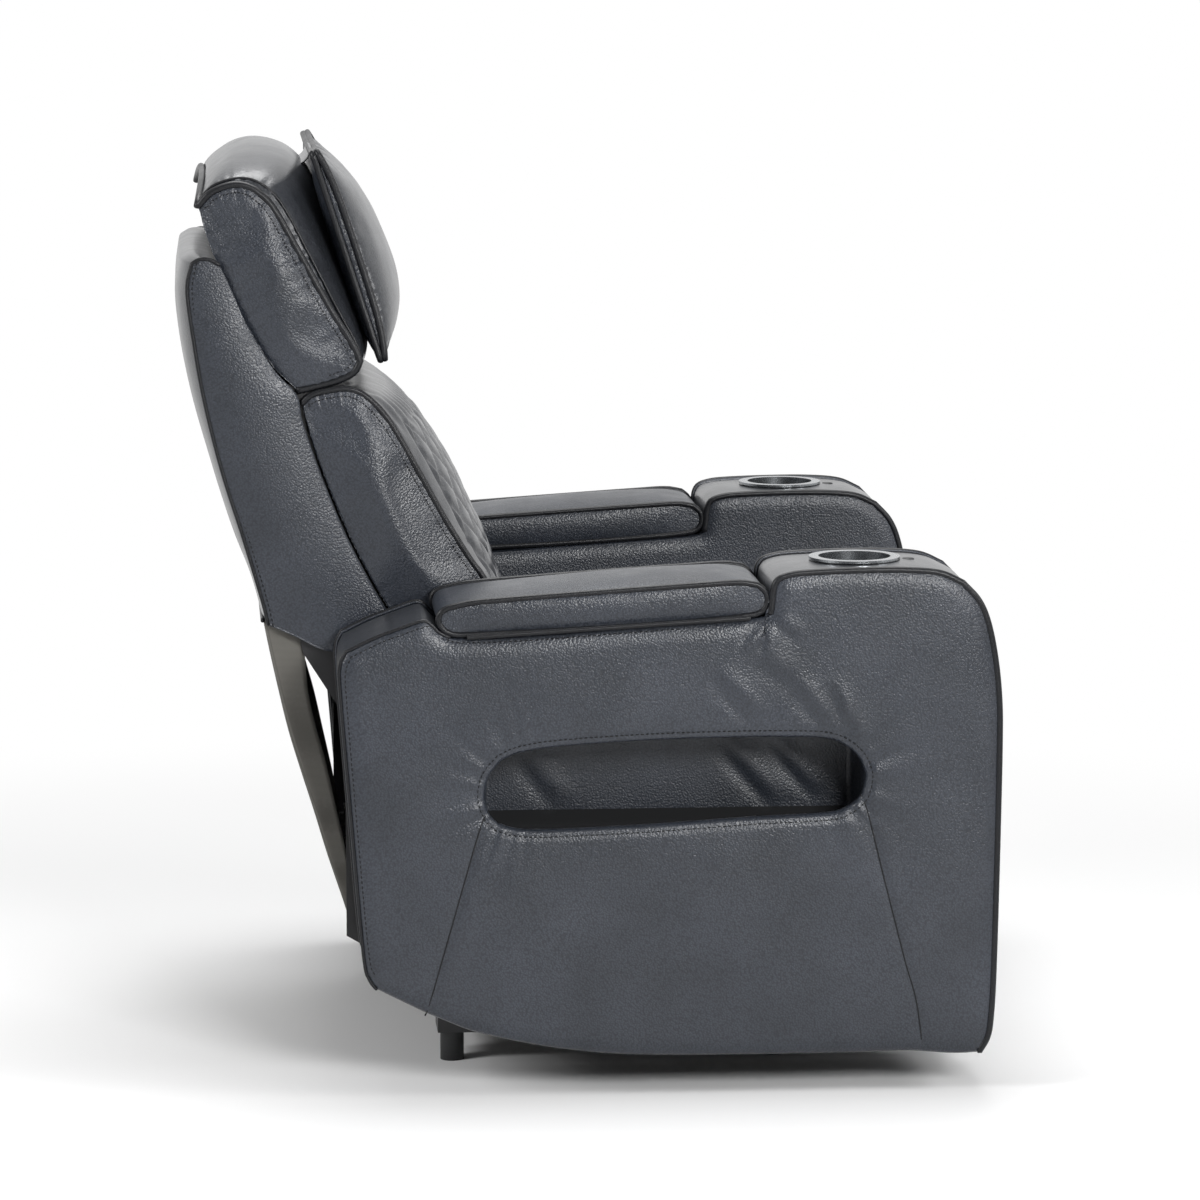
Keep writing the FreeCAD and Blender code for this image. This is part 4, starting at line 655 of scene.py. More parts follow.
slot_loop = loop_of(
    [(-112, 334), (-87, 327), (-39, 326), (67, 330), (185, 337), (280, 341.5), (306, 350)],
    [(306, 350), (318, 362), (323, 385), (317, 404), (306, 417)],
    [(-108, 409), (-86, 418), (-39, 425), (67, 431), (185, 433), (256, 432), (286, 428), (306, 417)],
    [(-112, 334), (-122, 345), (-128, 366), (-123, 390), (-108, 409)],
    *ARM_COUNTS,
)
ARM_FACE, ARM_INNER = -0.480, -0.295  # depth of the outer and the inner panel
ARM_MIDDLE = np.array([0.09, 0.33])  # a point well inside the arm's outline
EDGE_ROLL, SLOT_ROLL = (0.024, 0.009), (0.012, 0.006)  # reach and drop of the rolled edges
HEM_IN = 0.008  # from the slot's edge to its stitching
SLOT_ENDS = (-0.062, 0.262)  # where the slot's round ends begin
panel_seams = [
    curve([(-124, 348), (-134, 327), (-160, 238), (-193, 122), (-199, 104)], 90),
    curve([(318, 362), (326, 340), (346, 260), (371, 163), (385, 114), (394, 54)], 100),
]
# Each fold of the leather runs from the first point to the second; width and height follow, all in mm.
PULL_FOLDS = [
    ((140, 512), (196, 446), 14, 3.0),
    ((228, 504), (284, 436), 13, 3.0),
    ((276, 500), (312, 424), 11, 2.6),
    ((188, 532), (236, 496), 15, 1.8),
    ((204, 574), (172, 540), 8, 2.0),
    ((206, 572), (200, 530), 8, 1.8),
    ((208, 576), (246, 548), 9, 1.8),
]
POUCH_FOLDS = [
    ((150, 420), (230, 330), 14, 3.5),
    ((210, 420), (280, 340), 12, 3.0),
    ((-90, 410), (-30, 330), 16, 2.5),
]


def arm_outer():
    """Outer panel: rings from the slot's edge to the outline, rolled at both, with gathers and pull folds.
    The rings lie closer together at both edges: part straight, part cosine."""
    s = np.linspace(0, 1, 54)
    share = 0.4 * s + 0.6 * (0.5 - 0.5 * np.cos(np.pi * s))
    flat = slot_loop + (arm_loop - slot_loop) * share[:, None, None]
    points = flat.reshape(-1, 2)
    x, z = points.T
    to_edge, _ = nearest(points, arm_loop)
    to_slot, at_slot = nearest(points, slot_loop)
    # gathers fan out from the slot's two round ends
    ends = np.clip((SLOT_ENDS[0] - x) / 0.035, 0, 1) + np.clip((x - SLOT_ENDS[1]) / 0.035, 0, 1)
    swing = np.exp(-to_slot / 0.028) * (1 - np.exp(-to_slot / 0.007))
    out = ends * 0.0021 * swing * ripple(run_along(slot_loop)[at_slot], 0.019, 5)
    out += sum(fold(points, *pull) for pull in PULL_FOLDS)
    # a slow unevenness, and a fullness between slot and edge
    out += 0.0009 * np.sin(x * 23 + 1.0) * np.sin(z * 19 + 0.4)
    out += 0.004 * (1 - np.exp(-to_edge / 0.08)) * (1 - np.exp(-to_slot / 0.05))
    # sewn lines: the panel seams and the hem round the slot
    for line in panel_seams:
        out -= groove(nearest(points, line)[0], 0.0016, 0.006)
    out -= groove(to_slot - HEM_IN, 0.0012, 0.003)
    rolled = roll(to_edge, *EDGE_ROLL) + roll(to_slot, *SLOT_ROLL)
    y = ARM_FACE + rolled - out * (1 - np.exp(-to_edge / 0.012))
    sheet = lifted(flat, y.reshape(flat.shape[:2]))
    # both edges turn inwards: each ring is set in by the first number and sunk by the second
    slot_turn = ((-0.0015, 0.020), (-0.0015, 0.014), (0.0, 0.009))
    edge_turn = ((0.001, 0.011), (0.003, 0.016))
    hem = [lifted(inset(slot_loop, g), ARM_FACE + d) for g, d in slot_turn]
    turned = [lifted(inset(arm_loop, g), ARM_FACE + d) for g, d in edge_turn]
    return np.concatenate([hem, sheet, turned])


outer_grid = arm_outer()
outer_points, faces = surface(outer_grid, (0, -1, 0), True)
pair("arm_outer_cover", outer_points, faces, hide, "seat_frame", ["arm_outer_panel_{}"], wall=LEATHER)


def arm_inside():
    """Inner panel: a patch inside the outline, rolled at the edge and flat where the switches sit."""
    flat = coons(arm_loop, *ARM_COUNTS)
    to_edge, _ = nearest(flat.reshape(-1, 2), arm_loop)
    return lifted(flat, (ARM_INNER - roll(to_edge, *EDGE_ROLL)).reshape(flat.shape[:2]))


verts, faces = surface(arm_inside(), (0, 1, 0))
pair("arm_inner_cover", verts, faces, hide, "seat_frame", ["arm_inner_panel_{}"], wall=LEATHER)

# The front band runs from the arm's foot up its front and over the cup block, down to the lid, where a
# doubled point keeps the corner tight. The rear border runs from behind the lid down the arm's rear.
front_run = np.vstack([curve(arm_front, 130)[:-1], curve(arm_top[:16:-1] + arm_top[17:15:-1], 90)])
front_run = even(front_run, 200)
rear_run = even(np.vstack([curve(arm_top[7::-1], 60)[:-1], curve(arm_rear[::-1], 110)]), 130)


def outline_normals(run):
    """Normals of a stretch of the outline: its direction turned a quarter, away from the arm's middle."""
    way = unit(np.gradient(run, axis=0))
    normal = np.stack([way[:, 1], -way[:, 0]], 1)
    return normal if ((run - ARM_MIDDLE) * normal).sum() > 0 else -normal


def arm_band(run, bulge, near=-0.473, far=-0.302):
    """Strip across the arm along its outline, from seam to seam: sunk at both, a little full between."""
    t = np.linspace(0, 1, 44)
    to_seam = np.minimum(t, 1 - t) * (far - near)
    off = bulge * np.sin(np.pi * t) ** 0.7 - roll(to_seam, 0.016, 0.005) - 0.003
    flat = run[:, None] + outline_normals(run)[:, None] * off[None, :, None]
    return lifted(flat, near + (far - near) * t)


CUP_AT = (0.3194, -0.3875)
CUP_CUT = 0.0485  # radius of the hole in the leather under the cup's rim
CUP_OVER = 0.6  # only faces above this height are cut
verts, faces = surface(arm_band(front_run, 0.0035), (1, 0, 1))
mid = verts[faces].mean(1)
open_cup = (np.hypot(mid[:, 0] - CUP_AT[0], mid[:, 1] - CUP_AT[1]) < CUP_CUT) & (mid[:, 2] > CUP_OVER)
faces = faces[~open_cup]
pair("arm_front_cover", verts, faces, crown_hide, "seat_frame", ["arm_front_band_{}"], wall=LEATHER)
verts, faces = surface(arm_band(rear_run, 0.003), (-1, 0, 1))
pair("arm_rear_cover", verts, faces, crown_hide, "seat_frame", ["arm_rear_band_{}"], wall=LEATHER)

sunk_run = front_run - outline_normals(front_run) * 0.0025
front_beads = [tube(lifted(sunk_run, y), 0.0042) for y in (-0.4745, -0.3005)]
pair("arm_piping", *merged(*front_beads), welt, "seat_frame")
rear_beads = [tube(lifted(rear_run, y), 0.0022) for y in (-0.4735, -0.3015)]
pair("arm_rear_seam", *merged(*rear_beads), welt, "seat_frame")
seam_beads = [tube(laid_on(outer_points, line, -1, 0.0), 0.0009) for line in panel_seams]
pair("arm_panel_seam", *merged(*seam_beads), sewing_thread, "seat_frame")

# Stitching round the slot, and along one ring of the outer panel: under the lid, then round the rear corner
slot_hem = laid_on(outer_points, inset(slot_loop, -HEM_IN), -1)
edge_ring = outer_grid[-7, sum(ARM_COUNTS) :]
lines = (joined(slot_hem), edge_ring[92:178], edge_ring[178:-4])
rows = [stitches(line, (0, -1, 0)) for line in lines]
pair("arm_stitching", *merged(*rows), sewing_thread, "seat_frame")

POUCH_ENDS = (-0.134, 0.330)
POUCH_MOUTH = np.array([-0.461, 0.37])  # depth and height of the middle of the pouch's mouth
POUCH_SHADE_TOP = 0.330  # below this height the pouch's faces take the black cloth as painted shade


def pocket():
    """Pouch behind the slot: ceiling, back wall and floor as one sheet along the arm, with slack folds on
    the wall. Near both ends the profile shrinks to the mouth's middle as the square root of the distance
    left."""
    profile = curve(
        [
            (-461, 437), (-440, 441), (-392, 441), (-376, 434), (-372, 400),
            (-372, 340), (-374, 303), (-386, 297), (-430, 296), (-461, 300),
        ],
        90,
    )
    x = np.linspace(*POUCH_ENDS, 110)
    grid = np.stack(np.broadcast_arrays(x[:, None], profile[:, 0], profile[:, 1]), -1)
    slack = sum(fold(grid[..., ::2].reshape(-1, 2), *pull) for pull in POUCH_FOLDS)
    off_wall = np.clip((grid[..., 1] + 0.380) / -0.004, 0, 1)
    grid[..., 1] -= slack.reshape(off_wall.shape) * (1 - off_wall)
    end = np.clip(np.minimum(x - POUCH_ENDS[0], POUCH_ENDS[1] - x) / 0.012, 0, 1) ** 0.5
    grid[..., 1:] = POUCH_MOUTH + (grid[..., 1:] - POUCH_MOUTH) * (0.02 + 0.98 * end[:, None, None])
    return grid


verts, faces = surface(pocket(), (0, -1, 0))
pouches = pair(
    "pocket_pouch", verts, faces, hide, "seat_frame", ["pocket_liner_{}"], wall=0.0015, slot="liner_cloth"
)
# the pouch's lower wall and floor take the black lining cloth: painted shade where the pocket lies in shade
for shown in pouches:
    shown.data.materials.append(lining_and_pouch_shade)
    low = verts[faces][:, :, 2].mean(1) < POUCH_SHADE_TOP
    shown.data.polygons.foreach_set("material_index", low.astype(np.int32))


def button(at=(0.384, -0.3875, 0.6305), sides=32):
    """Round button: a rounded profile of radius and height, turned about an upright axis and closed."""
    profile = [(0.01, -3), (7.2, -3), (7.6, 0.6), (7.2, 1.6), (6.0, 2.2), (3.0, 2.5), (0.01, 2.6)]
    profile = np.array(profile) * MM
    turn = np.linspace(0, 2 * np.pi, sides, endpoint=False)
    radius, height = profile[:, :1], profile[:, 1:]
    ring = np.stack(np.broadcast_arrays(radius * np.cos(turn), radius * np.sin(turn), height), -1)
    verts = ring.reshape(-1, 3) + np.array(at)
    return verts, outward(verts, quads(len(profile), sides, True))


pair("cup_button", *button(), moulded, "seat_frame", slot="black_plastic")


# Armrest lids

LID_COUNTS = (46, 12)
LID_HALF, LID_MIDDLE = 0.0845, -0.3865  # half width, and where across the chair the right-hand lid lies
lid_bottom = [(-172, 562), (-164, 559), (-144, 558.5), (8, 565), (126, 572), (186, 577.5), (200, 582)]
lid_side = loop_of(
    lid_bottom,
    [(200, 582), (205, 589), (206, 598), (203, 606), (195, 613)],
    [(-170, 590), (-144, 595.5), (-109, 598.5), (8, 606.5), (126, 614), (173, 616.5), (195, 613)],
    [(-172, 562), (-179, 569), (-181, 577), (-178, 585), (-170, 590)],
    *LID_COUNTS,
)
lid_middle = loop_of(
    lid_bottom,
    [(200, 582), (206, 590), (207, 599), (203, 609), (193, 616)],
    [(-168, 594), (-134, 600), (-74, 608), (-26, 613), (47, 619), (120, 622), (160, 621.5), (193, 616)],
    [(-172, 562), (-180, 569), (-182, 578), (-178, 587), (-168, 594)],
    *LID_COUNTS,
)
lid_form = six_sided(
    lid_side, lid_middle, LID_COUNTS, LID_HALF, rows=24, crown=2.6, puff=0.006, centre=LID_MIDDLE
)
for side, sign in (("right", 1), ("left", -1)):
    verts, faces, seams, along, across = lid_form
    mirror = np.array([1, sign, 1])
    lid_seams = [s * mirror for s in seams]

    def lid_detail(points, along, across, lid_seams=lid_seams):
        """Gathers at the side seams."""
        return gathers(points, lid_seams, height=0.5, wave=13, reach=12, seed=3, sunk=1.2)

    form = (verts * mirror, faces[:, ::sign], lid_seams, along, across)
    stands_for = [f"lid_pad_{side}", f"lid_board_{side}"]
    cushion(
        f"lid_cushion_{side}", form, f"lid_{side}", stands_for, lid_detail, pressure=1.5, grow=0.0, cap=0.004
    )
    piping(f"lid_piping_{side}", lid_seams, 0.0038, f"lid_{side}", closed=True)


# Seat and footrest

PAD_ROWS = 70  # rows of points across the wide cushions
SEAT_COUNTS, SEAT_HALF = (76, 12), 0.286
SEAT_LINE = 0.318  # the sewn line's place from rear to front
seat_bottom = [(-150, 390), (150, 390), (440, 390)]
seat_side = loop_of(
    seat_bottom,
    [(440, 390), (453, 398), (459, 430), (455, 462), (440, 474)],
    [(-148, 470), (150, 474), (440, 474)],
    [(-150, 390), (-153, 430), (-148, 470)],
    *SEAT_COUNTS,
)
seat_middle = loop_of(
    seat_bottom,
    [(440, 390), (457, 400), (464, 434), (458, 468), (436, 484)],
    [(-148, 478), (150, 494), (300, 493), (436, 484)],
    [(-150, 390), (-155, 430), (-148, 478)],
    *SEAT_COUNTS,
)
seat_form = six_sided(seat_side, seat_middle, SEAT_COUNTS, SEAT_HALF, PAD_ROWS, crown=2.4, puff=0.002)


def seat_detail(points, along, across):
    """Gathers at the side seams, and a sewn line across the seat behind its front roll."""
    line = groove(points[:, 0] - SEAT_LINE, 0.0022, 0.005) * (points[:, 2] > 0.45)
    return gathers(points, seat_form[2], height=0.9, wave=15, reach=16, seed=20, sunk=1.5) - line


cushion(
    "seat_cover", seat_form, "seat_frame", ["seat_cushion"], seat_detail,
    pressure=2.5, grow=0.004, cap=0.008, crown=PAD_ROWS * len(seat_side),
)
piping("seat_piping", seat_form[2], 0.004, "seat_frame", closed=True)

FOOT_COUNTS, FOOT_HALF = (10, 36), 0.281
FOOT_LINE = 0.222  # the sewn line's height
foot_side = loop_of(
    [(411, 82), (430, 82), (450, 85)],
    [(450, 85), (463, 100), (466, 220), (463, 340), (450, 354)],
    [(411, 356), (430, 356), (450, 354)],
    [(411, 82), (411, 220), (411, 356)],
    *FOOT_COUNTS,
)
foot_middle = loop_of(
    [(411, 82), (432, 82), (454, 85)],
    [(454, 85), (468, 102), (473, 220), (468, 338), (454, 355)],
    [(411, 357), (432, 357), (454, 355)],
    [(411, 82), (411, 220), (411, 357)],
    *FOOT_COUNTS,
)
foot_form = six_sided(foot_side, foot_middle, FOOT_COUNTS, FOOT_HALF, PAD_ROWS, crown=2.6, puff=0.002)


def foot_detail(points, along, across):
    """Gathers at the side seams, and a sewn line across the middle of the pad."""
    line = groove(points[:, 2] - FOOT_LINE, 0.0022, 0.005) * (points[:, 0] > 0.44)
    return gathers(points, foot_form[2], height=0.9, wave=15, reach=16, seed=30, sunk=1.5) - line


cushion(
    "footrest_cover", foot_form, "footrest", ["footrest_pad"], foot_detail,
    pressure=2.0, grow=0.002, cap=0.004, crown=PAD_ROWS * len(foot_side),
)
piping("footrest_piping", foot_form[2], 0.0038, "footrest", closed=True)

APRON_COUNTS, APRON_HALF = (6, 10), 0.2835
apron_loop = loop_of(
    [(435, 362), (440, 361.5), (445, 362.5)],
    [(445, 362.5), (448, 368), (449, 375), (448, 383), (445, 388.5)],
    [(435, 389.5), (440, 389.5), (445, 388.5)],
    [(435, 362), (435, 375), (435, 389.5)],
    *APRON_COUNTS,
)
apron_form = six_sided(apron_loop, apron_loop, APRON_COUNTS, APRON_HALF, rows=60, crown=2.4, puff=0.001)
apron = make("deck_apron", *apron_form[:2], crown_hide, "seat_frame")


# Back: shell, lumbar cushion

BACK_COUNTS, BACK_HALF, BACK_ROWS = (24, 64), 0.280, 60
shell_front = [
    (-207, 507), (-234, 561), (-255, 598), (-285, 659), (-314, 732), (-334, 792), (-340, 822),
    (-367, 853), (-396, 901), (-417, 949), (-431, 979),
]
shell_side = loop_of(
    [(-377, 545), (-342, 529), (-300, 511), (-207, 507)],
    shell_front,
    [(-464, 981), (-454, 986), (-442, 985), (-431, 979)],
    [
        (-377, 545), (-384, 575), (-405, 648), (-431, 733), (-451, 817), (-463, 889), (-470, 949),
        (-464, 981),
    ],
    *BACK_COUNTS,
)
shell_middle = loop_of(
    [(-384, 549), (-346, 530), (-302, 511), (-207, 507)],
    shell_front,
    [(-480, 984), (-466, 991), (-448, 989), (-431, 979)],
    [
        (-384, 549), (-398, 600), (-417, 648), (-433, 697), (-447, 745), (-462, 798), (-473, 846),
        (-481, 894), (-485, 942), (-480, 984),
    ],
    *BACK_COUNTS,
)


def hollow(band, t):
    """The shell is open in front: the front chain's points sink back to the inside of the rear panel, by a
    share that grows from the rim over a tenth of the height and 20 mm of the width."""
    a, b = BACK_COUNTS
    front = np.arange(a, a + b + 1)
    mate = (2 * a + b + np.arange(b + 1)[::-1]) % band.shape[1]
    v = np.minimum(np.linspace(0, 1, b + 1), np.linspace(1, 0, b + 1)) / 0.10
    u = np.clip((1 - np.abs(t)) * 0.285 / 0.02 - 0.35, 0, 1)
    share = np.clip(v - 0.3, 0, 1)[None, :] * u[:, None] * 0.86
    out = band.copy()
    out[:, front] = band[:, front] + (band[:, mate] - band[:, front]) * share[..., None]
    return out


shell_form = six_sided(
    shell_side, shell_middle, BACK_COUNTS, BACK_HALF, BACK_ROWS, crown=9.0, puff=0.008, shape=hollow
)
verts, faces, seams = shell_form[:3]
shell = make("back_shell_cover", verts, faces, crown_hide, "backrest", ["back_shell"])
shell.data.materials.append(hide)
on_sides = np.arange(len(faces)) >= BACK_ROWS * len(shell_side)
shell.data.polygons.foreach_set("material_index", on_sides.astype(np.int32))
soft = shell.modifiers.new("fine", "SUBSURF")
soft.levels = soft.render_levels = 1
a, b = BACK_COUNTS
beads, rows = [], []
for sign, s in zip((-1, 1), seams):
    rear_edge = np.vstack([s[2 * a + b :], s[:1]])
    beads.append(tube(np.vstack([s[a + b : 2 * a + b], rear_edge]), 0.0024))
    rows.append(stitches(rear_edge + np.array([0.006, sign * 0.0012, 0]), (0, sign, 0)))
hem = np.stack([np.full(60, -0.3835), np.linspace(-0.268, 0.268, 60), np.full(60, 0.5485)], 1)
beads.append(tube(hem, 0.0026, up=(0, 0, 1)))
make("back_shell_seam", *merged(*beads), welt, "backrest")
make("back_shell_stitching", *merged(*rows), sewing_thread, "backrest")

LUMBAR_COUNTS, LUMBAR_HALF = (34, 46), 0.274
lumbar_rear = [(-203, 505), (-232, 561), (-253, 598), (-283, 659), (-312, 732), (-330, 790), (-334, 812)]
lumbar_side = loop_of(
    [(-203, 505), (-150, 497), (-100, 494), (-72, 500)],
    [
        (-72, 500), (-74, 520), (-92, 556), (-119, 602), (-133, 621), (-163, 670), (-193, 725),
        (-223, 779), (-239, 802), (-254, 817),
    ],
    [(-334, 812), (-325, 820), (-312, 825), (-283, 829), (-266, 825), (-254, 817)],
    lumbar_rear,
    *LUMBAR_COUNTS,
)
lumbar_middle = loop_of(
    [(-203, 505), (-150, 496), (-100, 492), (-66, 496)],
    [
        (-66, 496), (-62, 515), (-86, 566), (-93, 583), (-106, 622), (-124, 660), (-147, 711),
        (-181, 765), (-203, 790), (-217, 803),
    ],
    [(-334, 812), (-318, 818), (-285, 824), (-250, 822), (-230, 815), (-217, 803)],
    lumbar_rear,
    *LUMBAR_COUNTS,
)
lumbar_form = six_sided(
    lumbar_side, lumbar_middle, LUMBAR_COUNTS, LUMBAR_HALF, PAD_ROWS, crown=2.4, puff=0.016, fat=0.75
)
a, b = LUMBAR_COUNTS
lumbar_run = run_along(lumbar_middle)
QUILT_FROM, QUILT_TO = lumbar_run[a] + 0.024, lumbar_run[a + b] - 0.030  # along the outline, from foot to top
QUILT_HALF, BORDER_SEAM = 0.232, 0.234  # across the cushion
DIAMOND_WIDE, DIAMOND_TALL = 0.060, 0.062
DIAMOND_GAP = 0.0431  # square distance between two neighbouring lines of one set
BORDER_LINE = 0.640  # height of the sewn line across each plain border


def lumbar_detail(points, along, across):
    """Diamond quilting on the front between plain borders, pleats across its top, and gathers at the side
    seams. A point's distance to the quilting's two sets of slanting lines makes the puff, which dies away
    at the rim."""
    off = np.abs(across)
    over = along - QUILT_FROM
    tall = (along > QUILT_FROM) & (along < QUILT_TO)
    lines = [across / DIAMOND_WIDE + way * over / DIAMOND_TALL for way in (1, -1)]
    gap = DIAMOND_GAP * np.minimum(*[np.abs(line - np.round(line)) for line in lines])
    puff = 0.0052 * (1 - np.exp(-gap / 0.0065)) - 0.0026
    rim = np.minimum(np.minimum(over, QUILT_TO - along), QUILT_HALF - off)
    out = np.where(tall & (off < QUILT_HALF), puff * np.clip(rim / 0.006, 0, 1), 0.0)
    seamed = (along > QUILT_FROM - 0.01) & (along < QUILT_TO + 0.01)
    out -= np.where(seamed, groove(off - BORDER_SEAM, 0.003, 0.004), 0.0)
    pleat = groove(along - QUILT_TO - 0.010, 0.0022, 0.024) * (off < 0.262)
    out += pleat * np.cos(2 * np.pi * across / 0.034)
    out -= np.where(tall & (off > BORDER_SEAM), groove(points[:, 2] - BORDER_LINE, 0.0018, 0.004), 0.0)
    return out + gathers(points, lumbar_form[2], height=1.1, wave=10, reach=11, seed=40, sunk=2.0)


lumbar = cushion(
    "lumbar_cover", lumbar_form, "backrest", ["lumbar_cushion"], lumbar_detail,
    pressure=2.0, grow=0.003, cap=0.0035, crown=PAD_ROWS * len(lumbar_side),
)
piping("lumbar_piping", [s[: 2 * a + b + 1] for s in lumbar_form[2]], 0.0042, "backrest")
rows = cap_stitches(lumbar, lumbar_side, LUMBAR_HALF - 0.010, 0.0085, a, 2 * a + b)
make("lumbar_stitching", *merged(*rows), sewing_thread, "backrest")


# Headrest and pillow

HEAD_COUNTS, HEAD_HALF, HEAD_CROWN, HEAD_FAT = (16, 34), 0.270, 2.6, 0.6
head_side = loop_of(
    [(-340, 827), (-312, 833), (-288, 840), (-271, 849), (-264, 862)],
    [(-264, 862), (-274, 884), (-300, 926), (-335, 990), (-368, 1048), (-389, 1068)],
    [(-456, 1048), (-441, 1064), (-418, 1073), (-402, 1073), (-389, 1068)],
    [(-340, 827), (-370, 857), (-400, 905), (-421, 948), (-436, 984), (-449, 1020), (-456, 1048)],
    *HEAD_COUNTS,
)
head_middle = loop_of(
    [(-337, 829), (-312, 833), (-285, 839), (-262, 847), (-252, 858)],
    [(-252, 858), (-249, 874), (-257, 917), (-277, 976), (-298, 1032), (-322, 1083)],
    [
        (-449, 1084), (-441, 1094), (-427, 1104), (-409, 1111), (-384, 1114), (-359, 1110),
        (-340, 1101), (-322, 1083),
    ],
    [(-337, 829), (-366, 858), (-395, 907), (-414, 955), (-430, 1005), (-443, 1050), (-449, 1084)],
    *HEAD_COUNTS,
)
head_form = six_sided(
    head_side, head_middle, HEAD_COUNTS, HEAD_HALF, PAD_ROWS, HEAD_CROWN, puff=0.013, fat=HEAD_FAT
)


def head_detail(points, along, across):
    """Gathers at the side seams."""
    return gathers(points, head_form[2], height=2.0, wave=11, reach=17, seed=60, sunk=2.2)


head = cushion(
    "head_cover", head_form, "headrest", ["head_cushion"], head_detail,
    pressure=2.0, grow=0.004, cap=0.0035, crown=PAD_ROWS * len(head_side),
)
a, b = HEAD_COUNTS
beads = [tube(s[: 2 * a + b + 1], 0.0046) for s in head_form[2]]
# a cord along the crown's rear edge, a little lower in the middle, and a fine seam beside each end panel
t = places_across(PAD_ROWS)
edge = crowned(head_side, head_middle, t, HEAD_CROWN, HEAD_FAT)[:, 2 * a + b]
edge = np.stack([edge[:, 0] - 0.001, t * HEAD_HALF, edge[:, 1] - 0.008 * (1 - t**2)], 1)
beads.append(tube(edge, 0.0042, up=(0, 0, 1)))
places = np.array([-0.972, 0.972])
for place, ring in zip(places, crowned(head_side, head_middle, places, HEAD_CROWN, HEAD_FAT)):
    beads.append(tube(lifted(ring[: 2 * a + b + 1], place * HEAD_HALF), 0.0020))
make("head_piping", *merged(*beads), welt, "headrest")
rows = cap_stitches(head, head_side, HEAD_HALF - 0.010, 0.009, a // 2, 2 * a + b)
make("head_stitching", *merged(*rows), sewing_thread, "headrest")

PILLOW_ROWS, PILLOW_COLS = 40, 66
PILLOW_HALF = 0.252
pillow_foot, pillow_top = np.array([(-238.5, 861), (-318.5, 1110)]) * MM


def pillow_form():
    """Pillow: a domed front panel, fuller towards its foot, and a flat rear one hollowed to the headrest's
    crown. Both draw in a little between their corners."""
    long = np.linalg.norm(pillow_top - pillow_foot)
    up = (pillow_top - pillow_foot) / long
    out = np.array([up[1], -up[0]])
    u, v = np.meshgrid(np.linspace(-1, 1, PILLOW_COLS + 1), np.linspace(-1, 1, PILLOW_ROWS + 1))
    y = u * PILLOW_HALF * (1 - 0.03 * (1 - v**2))
    w = (v * (1 - 0.06 * (1 - u**2)) * 0.5 + 0.5) * long
    dome = (1 - np.abs(u) ** 3.0) ** 0.62 * (1 - np.abs(v) ** 2.6) ** 0.62
    lean = 1 - 0.28 * v
    front = 0.005 + 0.009 * (1 - v**4) + 0.037 * dome * lean
    rear = -0.014 * u**2 * (1 - u**12) * (1 - v**8)
    return [lifted(pillow_foot + up * w[..., None] + out * depth[..., None], y) for depth in (front, rear)]


sheets = [sheet.reshape(-1, 3) for sheet in pillow_form()]
verts = np.vstack(sheets)
count = len(sheets[0])
number = np.arange(count).reshape(PILLOW_ROWS + 1, PILLOW_COLS + 1)
rim = np.concatenate([number[0, :-1], number[:-1, -1], number[-1, :0:-1], number[:0:-1, 0]])
front_rim, rear_rim = (sheet[rim] for sheet in sheets)
# a narrow gusset joins the two panels round the rim
after = np.roll(rim, -1)
gusset = np.stack([rim, after, after + count, rim + count], 1)
panel = quads(*number.shape)
faces = outward(verts, np.vstack([panel, panel[:, ::-1] + count, gusset[:, ::-1]]))
unmarked = np.zeros(len(verts))
pillow_shape = (verts, faces, (front_rim, rear_rim), unmarked, unmarked)


def pillow_detail(points, along, across):
    """Gathers at the front seam."""
    return gathers(points, [front_rim], height=1.6, wave=14, reach=20, seed=80, sunk=1.6)


cushion(
    "pillow_cover", pillow_shape, "pillow", ["pillow"], pillow_detail,
    pressure=1.6, grow=0.004, cap=0.004, crown=len(panel),
)
piping("pillow_piping", (front_rim, rear_rim), 0.0042, "pillow", closed=True, up=(0.95, 0, 0.32))


def pillow_strap():
    """Leather strap: from the pillow's top edge down on to the crown and over it, following its curve."""
    line = curve([(-317, 1108), (-321, 1098), (-328, 1092), (-336, 1096), (-342, 1102)], 24)
    t = np.linspace(-0.34, 0.34, 37)
    flat = line[:, None] + np.array([-0.02, -0.030]) * (np.abs(t) ** 2.6)[None, :, None]
    return lifted(flat, t * HEAD_HALF)


verts, faces = surface(pillow_strap(), (0, 0, 1))
strap = make("pillow_strap", verts, faces, crown_hide, "headrest", wall=0.0018)


# Rear flap: a cloth that hangs from the back's lower edge to the rear tube

FLAP_ROWS, FLAP_COLUMNS = 70, 97
FLAP_HALF, WING_WIDE = 0.264, 0.036
flap_points = [
    (-383, 548), (-374, 505), (-362, 453), (-350, 404), (-335, 354), (-320, 305), (-306, 256),
    (-290, 206), (-276, 160),
]
wing_points = [
    (-344, 544), (-334, 514), (-330, 465), (-322, 424), (-310, 379), (-298, 324), (-286, 268),
    (-275, 206), (-270, 160),
]


